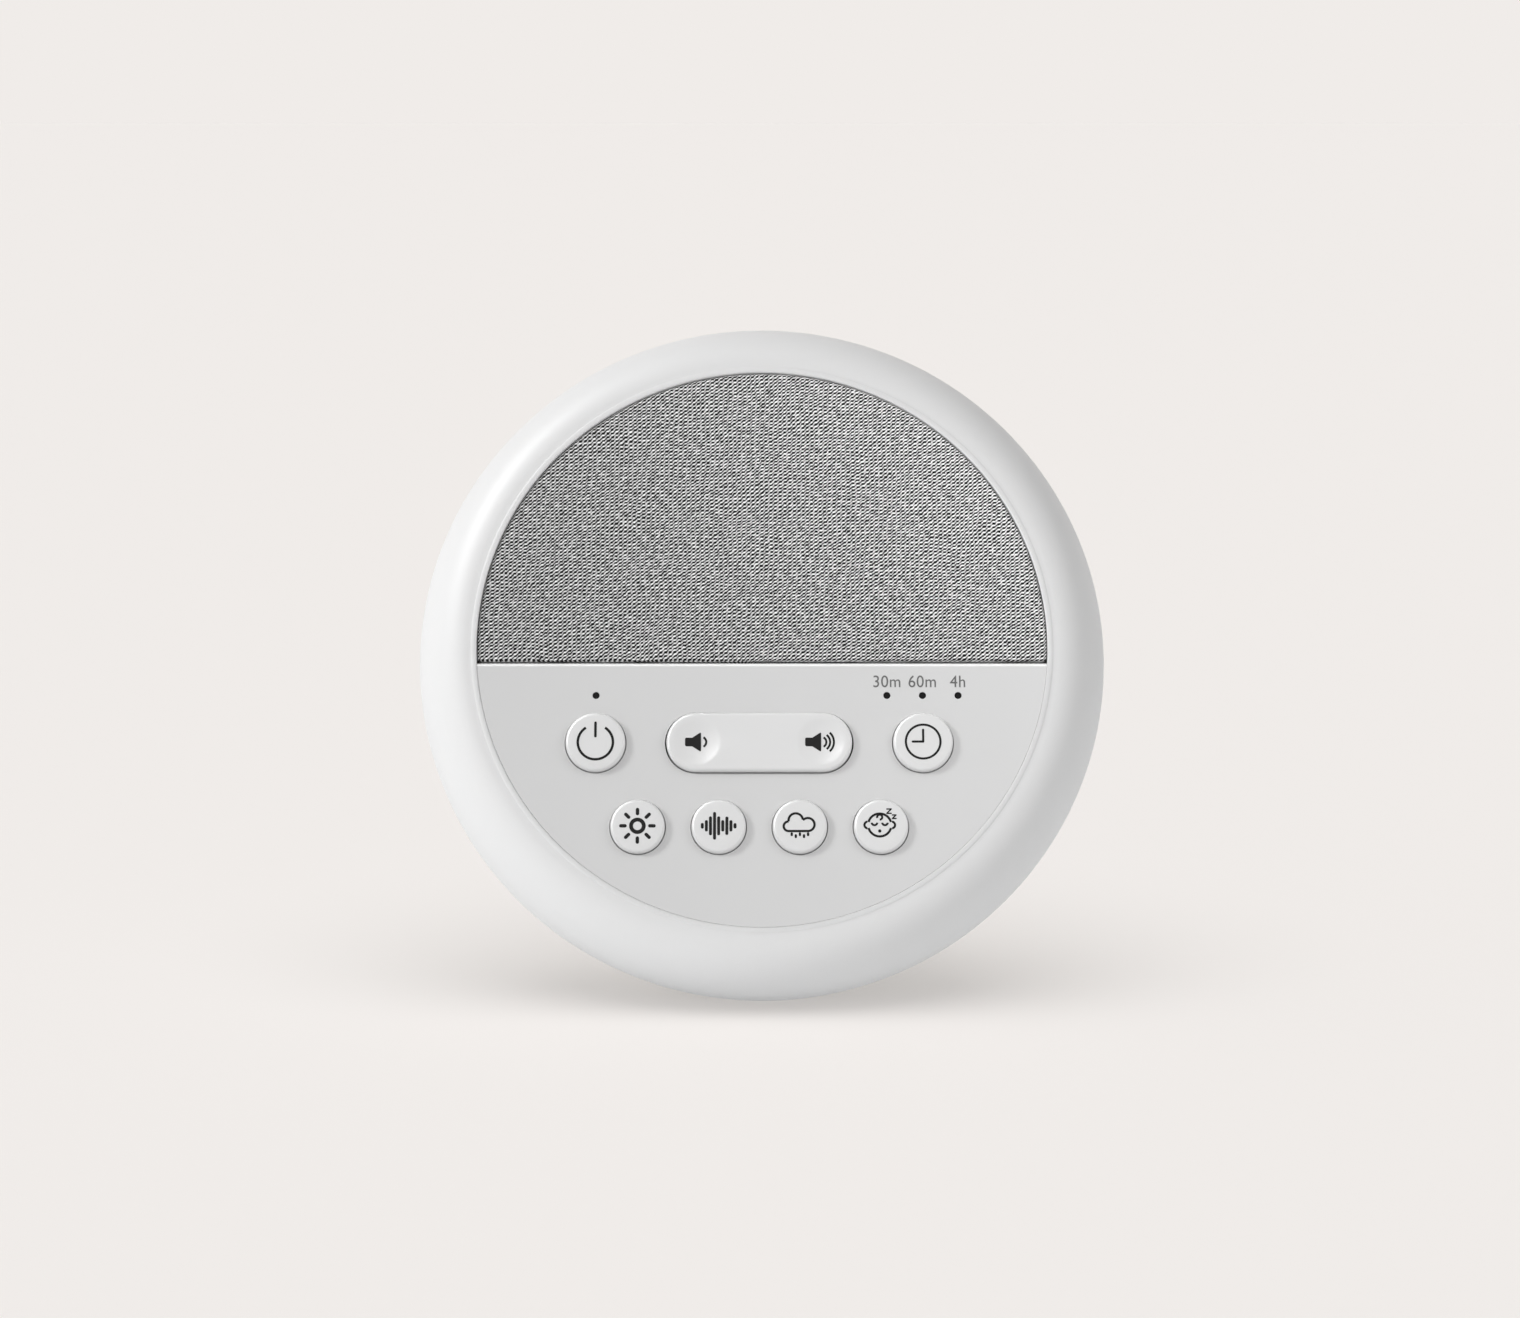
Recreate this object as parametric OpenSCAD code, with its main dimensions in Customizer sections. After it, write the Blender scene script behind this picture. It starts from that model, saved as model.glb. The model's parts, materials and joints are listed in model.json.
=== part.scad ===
// Bedside white noise machine: a round face that leans back on a wedge foot.
// Millimetres, +Z up. The origin lies on the floor, under the middle of the machine.
// Face pieces are drawn with x to the right, y up the face and z out of it.

/* [Body] */
// Width of the light ring outside its lip
ring_w = 11.2; // [10:0.1:14]
// Depth of the widest circle behind the face
ring_depth = 12.2; // [11:0.1:14]
// Radius of the round side behind the widest circle
side_r = 21.6; // [20.5:0.1:24]
// Depth at which the ring meets the rear housing
split_depth = 21; // [19.5:0.5:22.5]
// Inside diameter of the ring's lip
face_d = 104.6; // [102:0.2:108]
// Height of the lip's bead above the panel
bead_h = 0.5; // [0.3:0.1:0.8]
// Width of the flat groove outside the bead
groove_w = 1; // [0.6:0.1:1.4]
// Wall thickness of the ring and the housing
wall = 2.2; // [1.8:0.1:2.6]
// Angle by which the face leans back
tilt = 21; // [18:0.5:24]
// Gap between the ring's lowest point and the floor
ring_lift = 0.3; // [0.2:0.1:0.6]

/* [Foot] */
// Width of the foot at its rear
foot_w = 52; // [48:1:60]
// Width of the foot at its front
foot_front_w = 26; // [25:1:30]
// Distance of the foot's rear face behind the middle of the face
foot_reach = 50; // [49:0.5:56]
// Height of the upright rear face
foot_h = 23; // [22.5:0.5:28]
// Height at which the foot's slope meets the back
foot_top = 50; // [44:1:56]
// Gap between the foot and the floor
foot_lift = 1.2; // [1:0.1:1.6]
// Diameter of a rubber foot
pad_d = 8; // [6:0.5:9]
// Depth to which a rubber foot sits in its recess
pad_sunk = 0.8; // [0.6:0.1:1]
// Distance between the two front rubber feet
pad_front_gap = 14; // [12:0.5:15]
// Distance between the two rear rubber feet
pad_rear_gap = 36; // [30:1:38]

/* [Front] */
// Thickness of the control panel
panel_t = 2; // [1.8:0.1:2.4]
// Height of the line where cloth and panel meet, from the middle of the face
split_y = -3.2; // [-4:0.1:-2.6]
// Gap round the panel and the cloth
face_gap = 0.3; // [0.2:0.05:0.4]
// Depth of the cloth below the panel's surface
cloth_recess = 0.4; // [0.2:0.1:0.6]
// Thickness of the cloth
cloth_t = 0.7; // [0.5:0.1:0.9]
// Radius of the rounded edge along the top of the panel
panel_round = 0.9; // [0.5:0.1:1.2]
// Thickness of the front frame
frame_t = 2; // [1.8:0.1:2.4]
// Diameter of a grille hole
grille_hole_d = 3; // [2:0.1:3.4]
// Distance between the grille holes
grille_pitch = 4.6; // [4.2:0.1:6]

/* [Controls] */
// Diameter of the power and timer buttons
big_d = 10.9; // [10:0.1:11.6]
// Diameter of the four sound and light buttons
small_d = 9.9; // [9:0.1:11]
// Length of the volume rocker
rocker_l = 33.8; // [32:0.1:36]
// Height of the buttons above the panel
cap_h = 1.3; // [0.8:0.1:1.8]
// Radius of a button's rounded edge
cap_round = 0.9; // [0.4:0.1:1.2]
// Gap round each button
cap_gap = 0.35; // [0.3:0.05:0.5]
// Travel of a button
travel = 0.5; // [0.3:0.05:0.7]
// Angle by which the rocker tips each way
rocker_tip = 2; // [1.5:0.1:2.2]
// Diameter of a finger dimple
dimple_d = 9.2; // [8:0.1:9.8]
// Depth of a finger dimple
dimple_depth = 0.35; // [0.2:0.05:0.5]
// Distance of a finger dimple from the rocker's middle
dimple_x = 11.6; // [11:0.1:12]
// Height of the upper row, from the middle of the face
row_1 = -18.3; // [-19:0.1:-17.6]
// Height of the lower row
row_2 = -33.9; // [-35:0.1:-33.4]
// Height of the row of indicator lights
row_lamps = -9.4; // [-9.8:0.1:-8.8]
// Diameter of an indicator light
lamp_d = 1.25; // [1:0.05:1.6]

/* [Speaker] */
// Width of the speaker's flange outside its opening
flange_rim = 4.3; // [4:0.1:5]
// Height of the speaker's middle on the face
speaker_y = 24; // [23.5:0.5:24.5]
// Diameter of the cone's moving edge
cone_d = 39; // [36:0.5:40]
// Diameter of the voice coil
coil_d = 14.2; // [13:0.2:15]
// Diameter of the magnet
magnet_d = 30; // [26:0.5:32]
// Thickness of the magnet ring
magnet_t = 8; // [6:0.5:8.5]
// Travel of the cone each way
cone_travel = 1; // [0.5:0.1:1.2]

/* [Electronics] */
// Thickness of the circuit boards
board_t = 1.6; // [1.2:0.1:1.8]
// Side of a switch
switch_w = 6; // [5.6:0.1:6.2]
// Height of a switch without its plunger
switch_h = 3.5; // [3.3:0.1:3.6]
// Diameter of a switch plunger
plunger_d = 3.4; // [3:0.1:3.6]
// Length of a plunger above its switch
plunger_h = 1.5; // [1.4:0.05:1.6]
// Number of lights behind the ring
ring_leds = 12; // [8:2:16]
// Diameter of the plug that fits the power inlet
plug_d = 5.5; // [5:0.1:5.6]
// Diameter of the pin in the power inlet
pin_d = 2.1; // [1.6:0.1:2.5]

/* [Fasteners] */
// Diameter of a housing screw
screw_d = 2.9; // [2.5:0.1:3.2]
// Length of a housing screw
screw_l = 12; // [10:0.5:13]
// Diameter of the small board and speaker screws
small_screw_d = 2; // [1.8:0.1:2.2]

/* [Hidden] */
$fn = 96;
eps = 0.01;
thread_gap = 0.05;
sliding_gap = 0.3;
arc_steps = 20;

// The middle of the face, and the machine's front and rear
lip_r = face_d / 2;
ring_r = lip_r + ring_w;
ring_d = 2 * ring_r;
mid_r = ring_r - side_r;
bead_r = bead_h;
shoulder_r = lip_r + 2 * bead_r + groove_w;
shoulder_w = ring_r - shoulder_r;
back_depth = ring_depth + side_r;
face_z = ring_lift + mid_r * cos(tilt) + ring_depth * sin(tilt) + side_r;
front_y = ring_depth * cos(tilt) - shoulder_r * sin(tilt)
    - sqrt(pow(shoulder_w * sin(tilt), 2) + pow(ring_depth * cos(tilt), 2));
back_y = mid_r * sin(tilt) + ring_depth * cos(tilt) + side_r;
rear_y = max(foot_reach, back_y);
face_y = -(front_y + rear_y) / 2;

// Depths behind the face, from front to back
flange_t = 0.8;
flange_w = 0.9;
flange_gap = 0.1;
flange_depth = panel_t + flange_gap;
frame_depth = flange_depth + flange_t + travel + sliding_gap;
frame_back = frame_depth + frame_t;
plunger_in = 0.7;
board_depth = frame_back + plunger_h + switch_h - plunger_in;
plunger_top = board_depth - switch_h - plunger_h;
gasket_t = 0.8;
basket_depth = frame_back + gasket_t;
flange_plate = 1.2;
surround_skin = 0.4;
cone_paper = 0.5;
cone_depth = basket_depth + surround_skin;
cone_h = 6;
coil_depth = cone_depth + cone_h;
spider_t = 0.4;
spider_depth = coil_depth + cone_travel + 0.6;
basket_back = spider_depth + spider_t + cone_travel + 1;
magnet_depth = basket_back + flange_plate;
pole_plate = 1.8;
magnet_back = magnet_depth + magnet_t;
light_depth = 12;

// Radii round the face's middle
panel_r = lip_r - face_gap;
frame_r = lip_r + 2.8;
clip_r = panel_r - 3;
light_post_r = 2;
light_pin_r = 1;
light_post_x = frame_r - light_post_r - 0.6;
grille_gap = face_gap + cloth_t;
grille_depth = cloth_recess + cloth_t;

// Places on the face: [x, y]
control_x = -0.5;
button_gap = 7.45;
small_gap = 4.8;
button_x = rocker_l / 2 + button_gap + big_d / 2;
small_pitch = small_d + small_gap;
power_xy = [control_x - button_x, row_1];
timer_xy = [control_x + button_x, row_1];
rocker_xy = [control_x, row_1];
light_xy = [control_x - 1.5 * small_pitch, row_2];
noise_xy = [control_x - 0.5 * small_pitch, row_2];
rain_xy = [control_x + 0.5 * small_pitch, row_2];
lullaby_xy = [control_x + 1.5 * small_pitch, row_2];
big_xy = [power_xy, timer_xy];
small_xy = [light_xy, noise_xy, rain_xy, lullaby_xy];
lamp_pitch = 6.5;
lamp_xy = [
    [power_xy.x, row_lamps],
    [timer_xy.x - lamp_pitch, row_lamps],
    [timer_xy.x, row_lamps],
    [timer_xy.x + lamp_pitch, row_lamps]
];
rocker_foot_in = 5.2;
rocker_switch_x = rocker_l / 2 - rocker_foot_in;
rocker_switch_xy = [for (s = [-1, 1]) [control_x + s * rocker_switch_x, row_1]];
switch_xy = concat(big_xy, small_xy, rocker_switch_xy);
clip_angles = [-158, -112, -68, -22];
light_post_angles = [12, 168, 222, 318];

// Speaker, from its middle outwards
coil_wall = 0.5;
magnet_gap_r = coil_d / 2 + 0.5;
surround_w = 3.2;
speaker_open_r = cone_d / 2 + surround_w;
speaker_r = speaker_open_r + flange_rim;
basket_skin = 1;
basket_rear_r = magnet_d / 2 + 0.5;

// Rocker and its pin
pivot_depth = frame_depth + 1.2;
rocker_drop = (rocker_l / 2 + flange_w) * sin(rocker_tip);
rocker_flange_depth = panel_t + rocker_drop + 0.15;
pin_r = 0.8;
pin_boss_r = 1.9;
rocker_slot_gap = 0.45;
ear_l = 2.2;
rocker_slot_w = flange_w + rocker_slot_gap;
ear_y = big_d / 2 + rocker_slot_w + ear_l / 2;
pin_l = big_d + 2 * (flange_w + rocker_slot_gap + ear_l) - 0.4;
rocker_rest_gap = rocker_switch_x * sin(rocker_tip) + 0.05;

// Screws, posts and bosses
head_d = 5.5;
head_h = 2;
post_r = 3.5;
post_back = frame_back + 20.3;
boss_r = 4.6;
head_seat = post_back + 3.6;
head_gap = 0.35;
cross_l = 0.58 * head_d;
cross_w = 0.13 * head_d;
cross_h = 0.6 * head_h;
small_head_d = 4;
small_head_h = 1.4;
small_post_r = 2.5;
post_gap = 2.2;
speaker_post_gap = 3.5;
post_xy = concat(
    [for (s = [-1, 1]) [s * (speaker_r + speaker_post_gap + post_r), speaker_y - 2]],
    [for (s = [-1, 1]) [s * (button_x + switch_w / 2 + post_gap + post_r), row_1 - 1.7]]
);
board_screw_xy = concat(
    [for (s = [-1, 1]) [control_x + s * small_pitch, (row_1 + row_2) / 2]],
    [for (s = [-1, 1]) [control_x + s * rocker_l / 2, row_lamps - 0.2]]
);
speaker_ear_r = small_head_d / 2 + 0.4;
speaker_screw_r = speaker_open_r + basket_skin + small_head_d / 2 + 0.6;
speaker_screw_angles = [45:90:315];
speaker_screw_l = flange_plate + gasket_t + frame_t - 0.4;
board_screw_l = 4.6;

// Power inlet and main board, in the foot
main_board_z = foot_lift + wall + 3.6;
main_board_l = 24;
main_board_w = 30;
main_board_rear = foot_reach - wall - 1.8;
jack_r = plug_d / 2 + 1.5;
jack_h = 11;
jack_z = main_board_z + board_t + jack_h / 2;
jack_l = 14;
jack_bore = 9.5;
main_post_in = 4;
main_post_xy = [
    for (s = [-1, 1], t = [main_post_in, main_board_l - main_post_in])
        [s * (main_board_w / 2 - main_post_in), main_board_rear - t]
];

// Places of the rubber feet on the floor
pad_front_in = 3;
pad_rear_in = 3.5;
pad_xy = [
    for (s = [-1, 1]) [s * pad_front_gap / 2, face_y + pad_d / 2 + pad_front_in],
    for (s = [-1, 1]) [s * pad_rear_gap / 2, face_y + foot_reach - pad_d / 2 - pad_rear_in]
];

// ---- Shapes that repeat ----

// Points on an oval arc
function oval(x, y, rx, ry, from, to) =
    [for (i = [0:arc_steps])
        let (a = from + (to - from) * i / arc_steps) [x + rx * cos(a), y + ry * sin(a)]];

// Puts face pieces where the face is
module on_face() {
    translate([0, face_y, face_z]) rotate([90 - tilt, 0, 0]) children();
}

// A place on the face at a depth behind it
module at(xy, depth = 0) {
    translate([xy.x, xy.y, -depth]) children();
}

// A disc between two depths
module disc(r, front, back) {
    translate([0, 0, -back]) cylinder(r = r, h = back - front);
}

// A ring between two depths
module washer(outer, inner, front, back) {
    difference() {
        disc(outer, front, back);
        disc(inner, front - eps, back + eps);
    }
}

// A flat piece between two depths
module plate(front, back) {
    translate([0, 0, -back]) linear_extrude(height = back - front) children();
}

// An oblong with round ends
module oblong(l, w) {
    for (s = [-1, 1]) translate([s * (l - w) / 2, 0]) circle(d = w);
    square([l - w, w], center = true);
}

// The upper part of a disc, above the line where cloth and panel meet
module upper_part(r, line) {
    intersection() {
        circle(r = r);
        translate([-r, line]) square([2 * r, 2 * r]);
    }
}

// The lower part of a disc
module lower_part(r, line) {
    intersection() {
        circle(r = r);
        translate([-r, line - 2 * r]) square([2 * r, 2 * r]);
    }
}

// Half section of a round button's cap, with its edge rounded
module cap_section(r, depth) {
    translate([0, -depth]) square([r, depth + cap_h - cap_round]);
    translate([0, -depth]) square([r - cap_round, depth + cap_h]);
    translate([r - cap_round, cap_h - cap_round]) circle(r = cap_round);
}

// ---- Housing ----

// Outline of the machine's half section, from the groove to the split or the back
function ring_curve() = concat(
    oval(shoulder_r, -ring_depth, shoulder_w, ring_depth, 90, 0),
    oval(mid_r, -ring_depth, side_r, side_r, 0, -asin((split_depth - ring_depth) / side_r))
);

// The ring's inner wall, from the split to the frame's seat
function ring_inside() =
    let (
        a = shoulder_w - wall,
        b = ring_depth - wall,
        seat = asin((ring_depth - frame_depth) / b)
    ) concat(
        oval(mid_r, -ring_depth, side_r - wall, side_r - wall,
            -asin((split_depth - ring_depth) / (side_r - wall)), 0),
        oval(shoulder_r, -ring_depth, a, b, 0, seat)
    );

module night_light_ring() {
    color("white") on_face() rotate_extrude() {
        polygon(concat(
            [[lip_r, -frame_depth], [lip_r, 0], [shoulder_r, 0]],
            ring_curve(),
            ring_inside()
        ));
        translate([lip_r + bead_r, 0]) circle(r = bead_r);
    }
}

// The round back, solid or as the space inside
module back_bowl(inset, front) {
    r = side_r - inset;
    start = asin((front - ring_depth) / r);
    rotate_extrude() polygon(concat(
        [[0, -front]],
        oval(mid_r, -ring_depth, r, r, -start, -90),
        [[0, -ring_depth - r]]
    ));
}

// Height above the floor of the back's surface, as a distance behind the face's middle
function back_at(z) = (back_depth - (z - face_z) * -sin(tilt)) / cos(tilt);

// The wedge foot, solid or as the space inside
module foot_block(inset) {
    front_r = 4;
    rear_r = 7;
    foot_edge = 3;
    $fn = 48;
    front_x = foot_front_w / 2 - front_r;
    rear_x = foot_w / 2 - rear_r;
    foot_front = -1;
    intersection() {
        translate([0, face_y, 0]) linear_extrude(height = foot_top) hull() {
            for (s = [-1, 1]) {
                translate([s * front_x, foot_front + front_r]) circle(r = front_r - inset);
                translate([s * rear_x, foot_reach - rear_r]) circle(r = rear_r - inset);
            }
        }
        translate([-foot_w, face_y, 0]) rotate([90, 0, 90])
            linear_extrude(height = 2 * foot_w) offset(delta = -inset)
                offset(r = foot_edge) offset(delta = -foot_edge) polygon([
                    [foot_front, foot_lift],
                    [foot_reach, foot_lift],
                    [foot_reach, foot_h],
                    [back_at(foot_top), foot_top],
                    [foot_front, foot_top]
                ]);
        on_face() translate([-foot_w, -2 * ring_d, -split_depth - 2 * ring_d])
            cube([2 * foot_w, 4 * ring_d, 2 * ring_d]);
    }
}

module rear_housing() {
    tongue_r = mid_r + (side_r - wall) * cos(asin((split_depth - ring_depth) / (side_r - wall)));
    color("whitesmoke") difference() {
        union() {
            difference() {
                union() {
                    on_face() back_bowl(0, split_depth);
                    foot_block(0);
                }
                on_face() back_bowl(wall, split_depth - eps);
                foot_block(wall);
            }
            // Tongue inside the ring's rear edge
            on_face() washer(tongue_r - sliding_gap, tongue_r - 1.8, split_depth - 2, split_depth + 3);
            // Bosses for the housing screws
            on_face() for (p = post_xy) at(p) disc(boss_r, post_back, back_depth - wall / 2);
            // Posts under the main board
            for (p = main_post_xy) translate([p.x, face_y + p.y, foot_lift + wall / 2])
                cylinder(r = small_post_r, h = main_board_z - foot_lift - wall / 2);
        }
        on_face() for (p = post_xy) at(p) {
            disc(screw_d / 2 + 0.3, post_back - eps, back_depth + 1);
            disc(head_d / 2 + head_gap, head_seat, back_depth + 1);
        }
        for (p = main_post_xy) translate([p.x, face_y + p.y, main_board_z - 4.6])
            cylinder(r = small_screw_d / 2 + thread_gap, h = 5);
        for (p = pad_xy) translate([p.x, p.y, foot_lift - eps])
            cylinder(d = pad_d + 0.2, h = pad_sunk + eps);
        translate([0, face_y + foot_reach - wall - 1, jack_z]) rotate([-90, 0, 0])
            cylinder(r = jack_r + 0.2, h = wall + 2);
    }
}

module rubber_feet() {
    color("dimgray") for (p = pad_xy) translate([p.x, p.y, 0])
        cylinder(d = pad_d, h = foot_lift + pad_sunk);
}

module housing_screws() {
    color("silver") on_face() for (p = post_xy) at(p) {
        difference() {
            disc(head_d / 2, head_seat, head_seat + head_h);
            // Cross recess
            for (a = [0, 90]) rotate([0, 0, a])
                translate([-cross_l / 2, -cross_w / 2, -head_seat - head_h - eps])
                    cube([cross_l, cross_w, cross_h]);
        }
        disc(screw_d / 2, head_seat - screw_l, head_seat);
    }
}

// ---- Front ----

module front_frame() {
    clip_w = 5;
    color("gainsboro") on_face() difference() {
        union() {
            disc(frame_r, frame_depth, frame_back);
            // Posts for the housing screws
            for (p = post_xy) at(p) disc(post_r, frame_depth, post_back);
            // Posts for the button board
            for (p = board_screw_xy) at(p) disc(small_post_r, frame_depth, board_depth);
            // Posts for the light board, each with a pin through it
            for (a = light_post_angles) rotate([0, 0, a]) at([light_post_x, 0]) {
                disc(light_post_r, frame_depth, light_depth);
                disc(light_pin_r, frame_depth, light_depth + board_t + 0.8);
            }
            // Ears for the rocker's pin
            for (s = [-1, 1]) at([rocker_xy.x, rocker_xy.y + s * ear_y])
                translate([-2.6, -ear_l / 2, -pivot_depth - 2]) cube([5.2, ear_l, 3]);
        }
        // Opening behind the speaker grille
        at([0, speaker_y]) disc(speaker_open_r, 0, frame_back + eps);
        // Openings behind the controls
        for (p = concat(big_xy, small_xy)) at(p)
            disc(plunger_d / 2 + 0.5 + sliding_gap, 0, frame_back + eps);
        at(rocker_xy) plate(0, frame_back + eps)
            oblong(rocker_l + 2 * rocker_slot_w, big_d + 2 * rocker_slot_w);
        at(rocker_xy) rotate([90, 0, 0]) translate([0, -pivot_depth, -pin_l / 2])
            cylinder(r = pin_r + thread_gap, h = pin_l);
        for (p = lamp_xy) at(p) disc(lamp_d / 2 + 0.3, 0, frame_back + eps);
        // Pilot holes
        for (p = post_xy) at(p)
            disc(screw_d / 2 + thread_gap, head_seat - screw_l - 0.5, post_back + eps);
        for (p = board_screw_xy) at(p) disc(
            small_screw_d / 2 + thread_gap, board_depth + board_t - board_screw_l - 0.4,
            board_depth + eps
        );
        at([0, speaker_y])
            at_speaker_screws(small_screw_d / 2 + thread_gap, frame_depth - eps, frame_back + eps);
        // Slots for the panel's clips
        for (a = clip_angles) rotate([0, 0, a])
            translate([clip_r - 1.4, -clip_w / 2, -frame_back - eps]) cube([2.8, clip_w, frame_t + 1]);
    }
}

module control_panel() {
    rim_w = 1.6;
    color("white") on_face() {
        difference() {
            union() {
                plate(0, panel_t) lower_part(panel_r, split_y);
                // Rim that rests on the frame
                plate(panel_t - eps, frame_depth) difference() {
                    lower_part(panel_r, split_y);
                    lower_part(panel_r - rim_w, split_y - rim_w);
                }
            }
            for (p = big_xy) at(p) disc(big_d / 2 + cap_gap, -1, panel_t + 1);
            for (p = small_xy) at(p) disc(small_d / 2 + cap_gap, -1, panel_t + 1);
            at(rocker_xy) plate(-1, panel_t + 1)
                oblong(rocker_l + 2 * cap_gap, big_d + 2 * cap_gap);
            for (p = lamp_xy) at(p) disc(lamp_d / 2 + thread_gap, -1, panel_t + 1);
            // Rounded upper edge
            translate([-panel_r, split_y - panel_round, -panel_round]) difference() {
                translate([-1, 0, 0]) cube([2 * panel_r + 2, panel_round + 1, panel_round + 1]);
                translate([-2, 0, 0]) rotate([0, 90, 0])
                    cylinder(r = panel_round, h = 2 * panel_r + 4);
            }
        }
        // Clips through the frame, with hooks behind it
        for (a = clip_angles) rotate([0, 0, a]) {
            translate([clip_r - 1, -2, -frame_back - 1.3]) cube([1.2, 4, frame_back - panel_t + 1.4]);
            translate([clip_r - 1, -2, -frame_back - 1.3]) cube([2.6, 4, 1.1]);
        }
    }
}

module grille_frame() {
    hole_rows = 7;
    row_h = grille_pitch * sqrt(3) / 2;
    hole_field = cone_d / 2 + 2.5;
    color("dimgray") on_face() difference() {
        union() {
            plate(grille_depth, panel_t + 0.6) upper_part(lip_r - grille_gap, split_y + grille_gap);
            // Rim that rests on the frame
            plate(panel_t, frame_depth) difference() {
                upper_part(lip_r - grille_gap, split_y + grille_gap);
                upper_part(lip_r - grille_gap - 2, split_y + grille_gap + 2);
            }
        }
        at([0, speaker_y]) for (j = [-hole_rows:hole_rows], i = [-hole_rows:hole_rows])
            let (x = (i + (j % 2 == 0 ? 0 : 0.5)) * grille_pitch, y = j * row_h)
                if (norm([x, y]) < hole_field)
                    at([x, y]) disc(grille_hole_d / 2, 0, frame_depth);
    }
}

module speaker_cloth() {
    fold_depth = frame_depth - 0.6;
    color("darkgray") on_face() difference() {
        plate(cloth_recess, fold_depth) upper_part(lip_r - face_gap, split_y + face_gap);
        plate(grille_depth, fold_depth + 1) upper_part(lip_r - grille_gap, split_y + grille_gap);
    }
}

// ---- Buttons ----

// A round button: cap, flange behind the panel, and stem down to the switch
module round_button(xy, d) {
    stem_r = plunger_d / 2 + 0.5;
    on_face() at(xy) {
        rotate_extrude() cap_section(d / 2, flange_depth + eps);
        disc(d / 2 + flange_w, flange_depth, flange_depth + flange_t);
        disc(stem_r, flange_depth, plunger_top);
    }
}

// The plunger of a switch, which stays against the button's stem
module plunger(xy) {
    on_face() at(xy) disc(plunger_d / 2, plunger_top, board_depth - travel - 0.1);
}

module power_button() { color("white") round_button(power_xy, big_d); }
module timer_button() { color("white") round_button(timer_xy, big_d); }
module light_button() { color("white") round_button(light_xy, small_d); }
module noise_button() { color("white") round_button(noise_xy, small_d); }
module rain_button() { color("white") round_button(rain_xy, small_d); }
module lullaby_button() { color("white") round_button(lullaby_xy, small_d); }

module power_plunger() { color("black") plunger(power_xy); }
module timer_plunger() { color("black") plunger(timer_xy); }
module light_plunger() { color("black") plunger(light_xy); }
module noise_plunger() { color("black") plunger(noise_xy); }
module rain_plunger() { color("black") plunger(rain_xy); }
module lullaby_plunger() { color("black") plunger(lullaby_xy); }

// The two plungers under the rocker, which meet its feet only when it tips
module rocker_plungers() {
    color("black") for (p = rocker_switch_xy) plunger(p);
}

module volume_rocker() {
    straight = rocker_l - big_d;
    dimple_r = (pow(dimple_d / 2, 2) + pow(dimple_depth, 2)) / (2 * dimple_depth);
    foot_r = 1.5;
    color("white") on_face() at(rocker_xy) difference() {
        union() {
            // Cap: two round ends and a straight middle with the same section
            for (s = [-1, 1]) translate([s * straight / 2, 0, 0])
                rotate_extrude() cap_section(big_d / 2, rocker_flange_depth + eps);
            translate([-straight / 2, 0, 0]) rotate([90, 0, 90]) linear_extrude(height = straight) {
                cap_section(big_d / 2, rocker_flange_depth + eps);
                mirror([1, 0, 0]) cap_section(big_d / 2, rocker_flange_depth + eps);
            }
            plate(rocker_flange_depth, rocker_flange_depth + flange_t)
                oblong(rocker_l + 2 * flange_w, big_d + 2 * flange_w);
            // Boss round the pin
            rotate([90, 0, 0]) translate([0, -pivot_depth, -big_d / 2 + 0.3])
                cylinder(r = pin_boss_r, h = big_d - 0.6);
            translate([-pin_boss_r, -big_d / 2 + 0.3, -pivot_depth])
                cube([2 * pin_boss_r, big_d - 0.6, pivot_depth - rocker_flange_depth]);
            // Feet over the two switches
            for (s = [-1, 1]) at([s * rocker_switch_x, 0])
                disc(foot_r, rocker_flange_depth, plunger_top - rocker_rest_gap);
        }
        rotate([90, 0, 0]) translate([0, -pivot_depth, -big_d])
            cylinder(r = pin_r + thread_gap, h = 2 * big_d);
        for (s = [-1, 1]) translate([s * dimple_x, 0, cap_h + dimple_r - dimple_depth])
            sphere(r = dimple_r);
    }
}

module rocker_pin() {
    color("silver") on_face() at(rocker_xy) rotate([90, 0, 0])
        translate([0, -pivot_depth, -pin_l / 2 + 0.1]) cylinder(r = pin_r, h = pin_l - 0.2);
}

// ---- Boards and lights ----

module tact_switches() {
    color("dimgray") on_face() for (p = switch_xy) at(p) difference() {
        translate([-switch_w / 2, -switch_w / 2, -board_depth]) cube([switch_w, switch_w, switch_h]);
        disc(plunger_d / 2 + 0.2, 0, board_depth + 1);
    }
}

module button_board() {
    board_r = panel_r - 5;
    color("green") on_face() difference() {
        plate(board_depth, board_depth + board_t) lower_part(board_r, row_lamps + 4);
        for (p = board_screw_xy) at(p) disc(small_screw_d / 2 + 0.2, 0, board_depth + board_t + 1);
        for (p = post_xy) if (p.y < 0) at(p) disc(post_r + 0.5, 0, board_depth + board_t + 1);
    }
}

module button_board_screws() {
    color("silver") on_face() for (p = board_screw_xy) at(p) {
        disc(small_head_d / 2, board_depth + board_t, board_depth + board_t + small_head_h);
        disc(small_screw_d / 2, board_depth + board_t - board_screw_l, board_depth + board_t);
    }
}

module indicator_leds() {
    color("yellow") on_face() for (p = lamp_xy) at(p)
        translate([-0.8, -0.4, -board_depth]) cube([1.6, 0.8, 0.8]);
}

module indicator_lenses() {
    color("black") on_face() for (p = lamp_xy) at(p)
        disc(lamp_d / 2, 0.15, board_depth - 1);
}

module night_light_board() {
    outer = ring_r - wall - 2.6;
    inner = light_post_x - light_post_r - 1.4;
    color("white") on_face() difference() {
        washer(outer, inner, light_depth, light_depth + board_t);
        for (a = light_post_angles) rotate([0, 0, a]) at([light_post_x, 0])
            disc(light_pin_r + 0.1, 0, light_depth + board_t + 1);
    }
}

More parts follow.
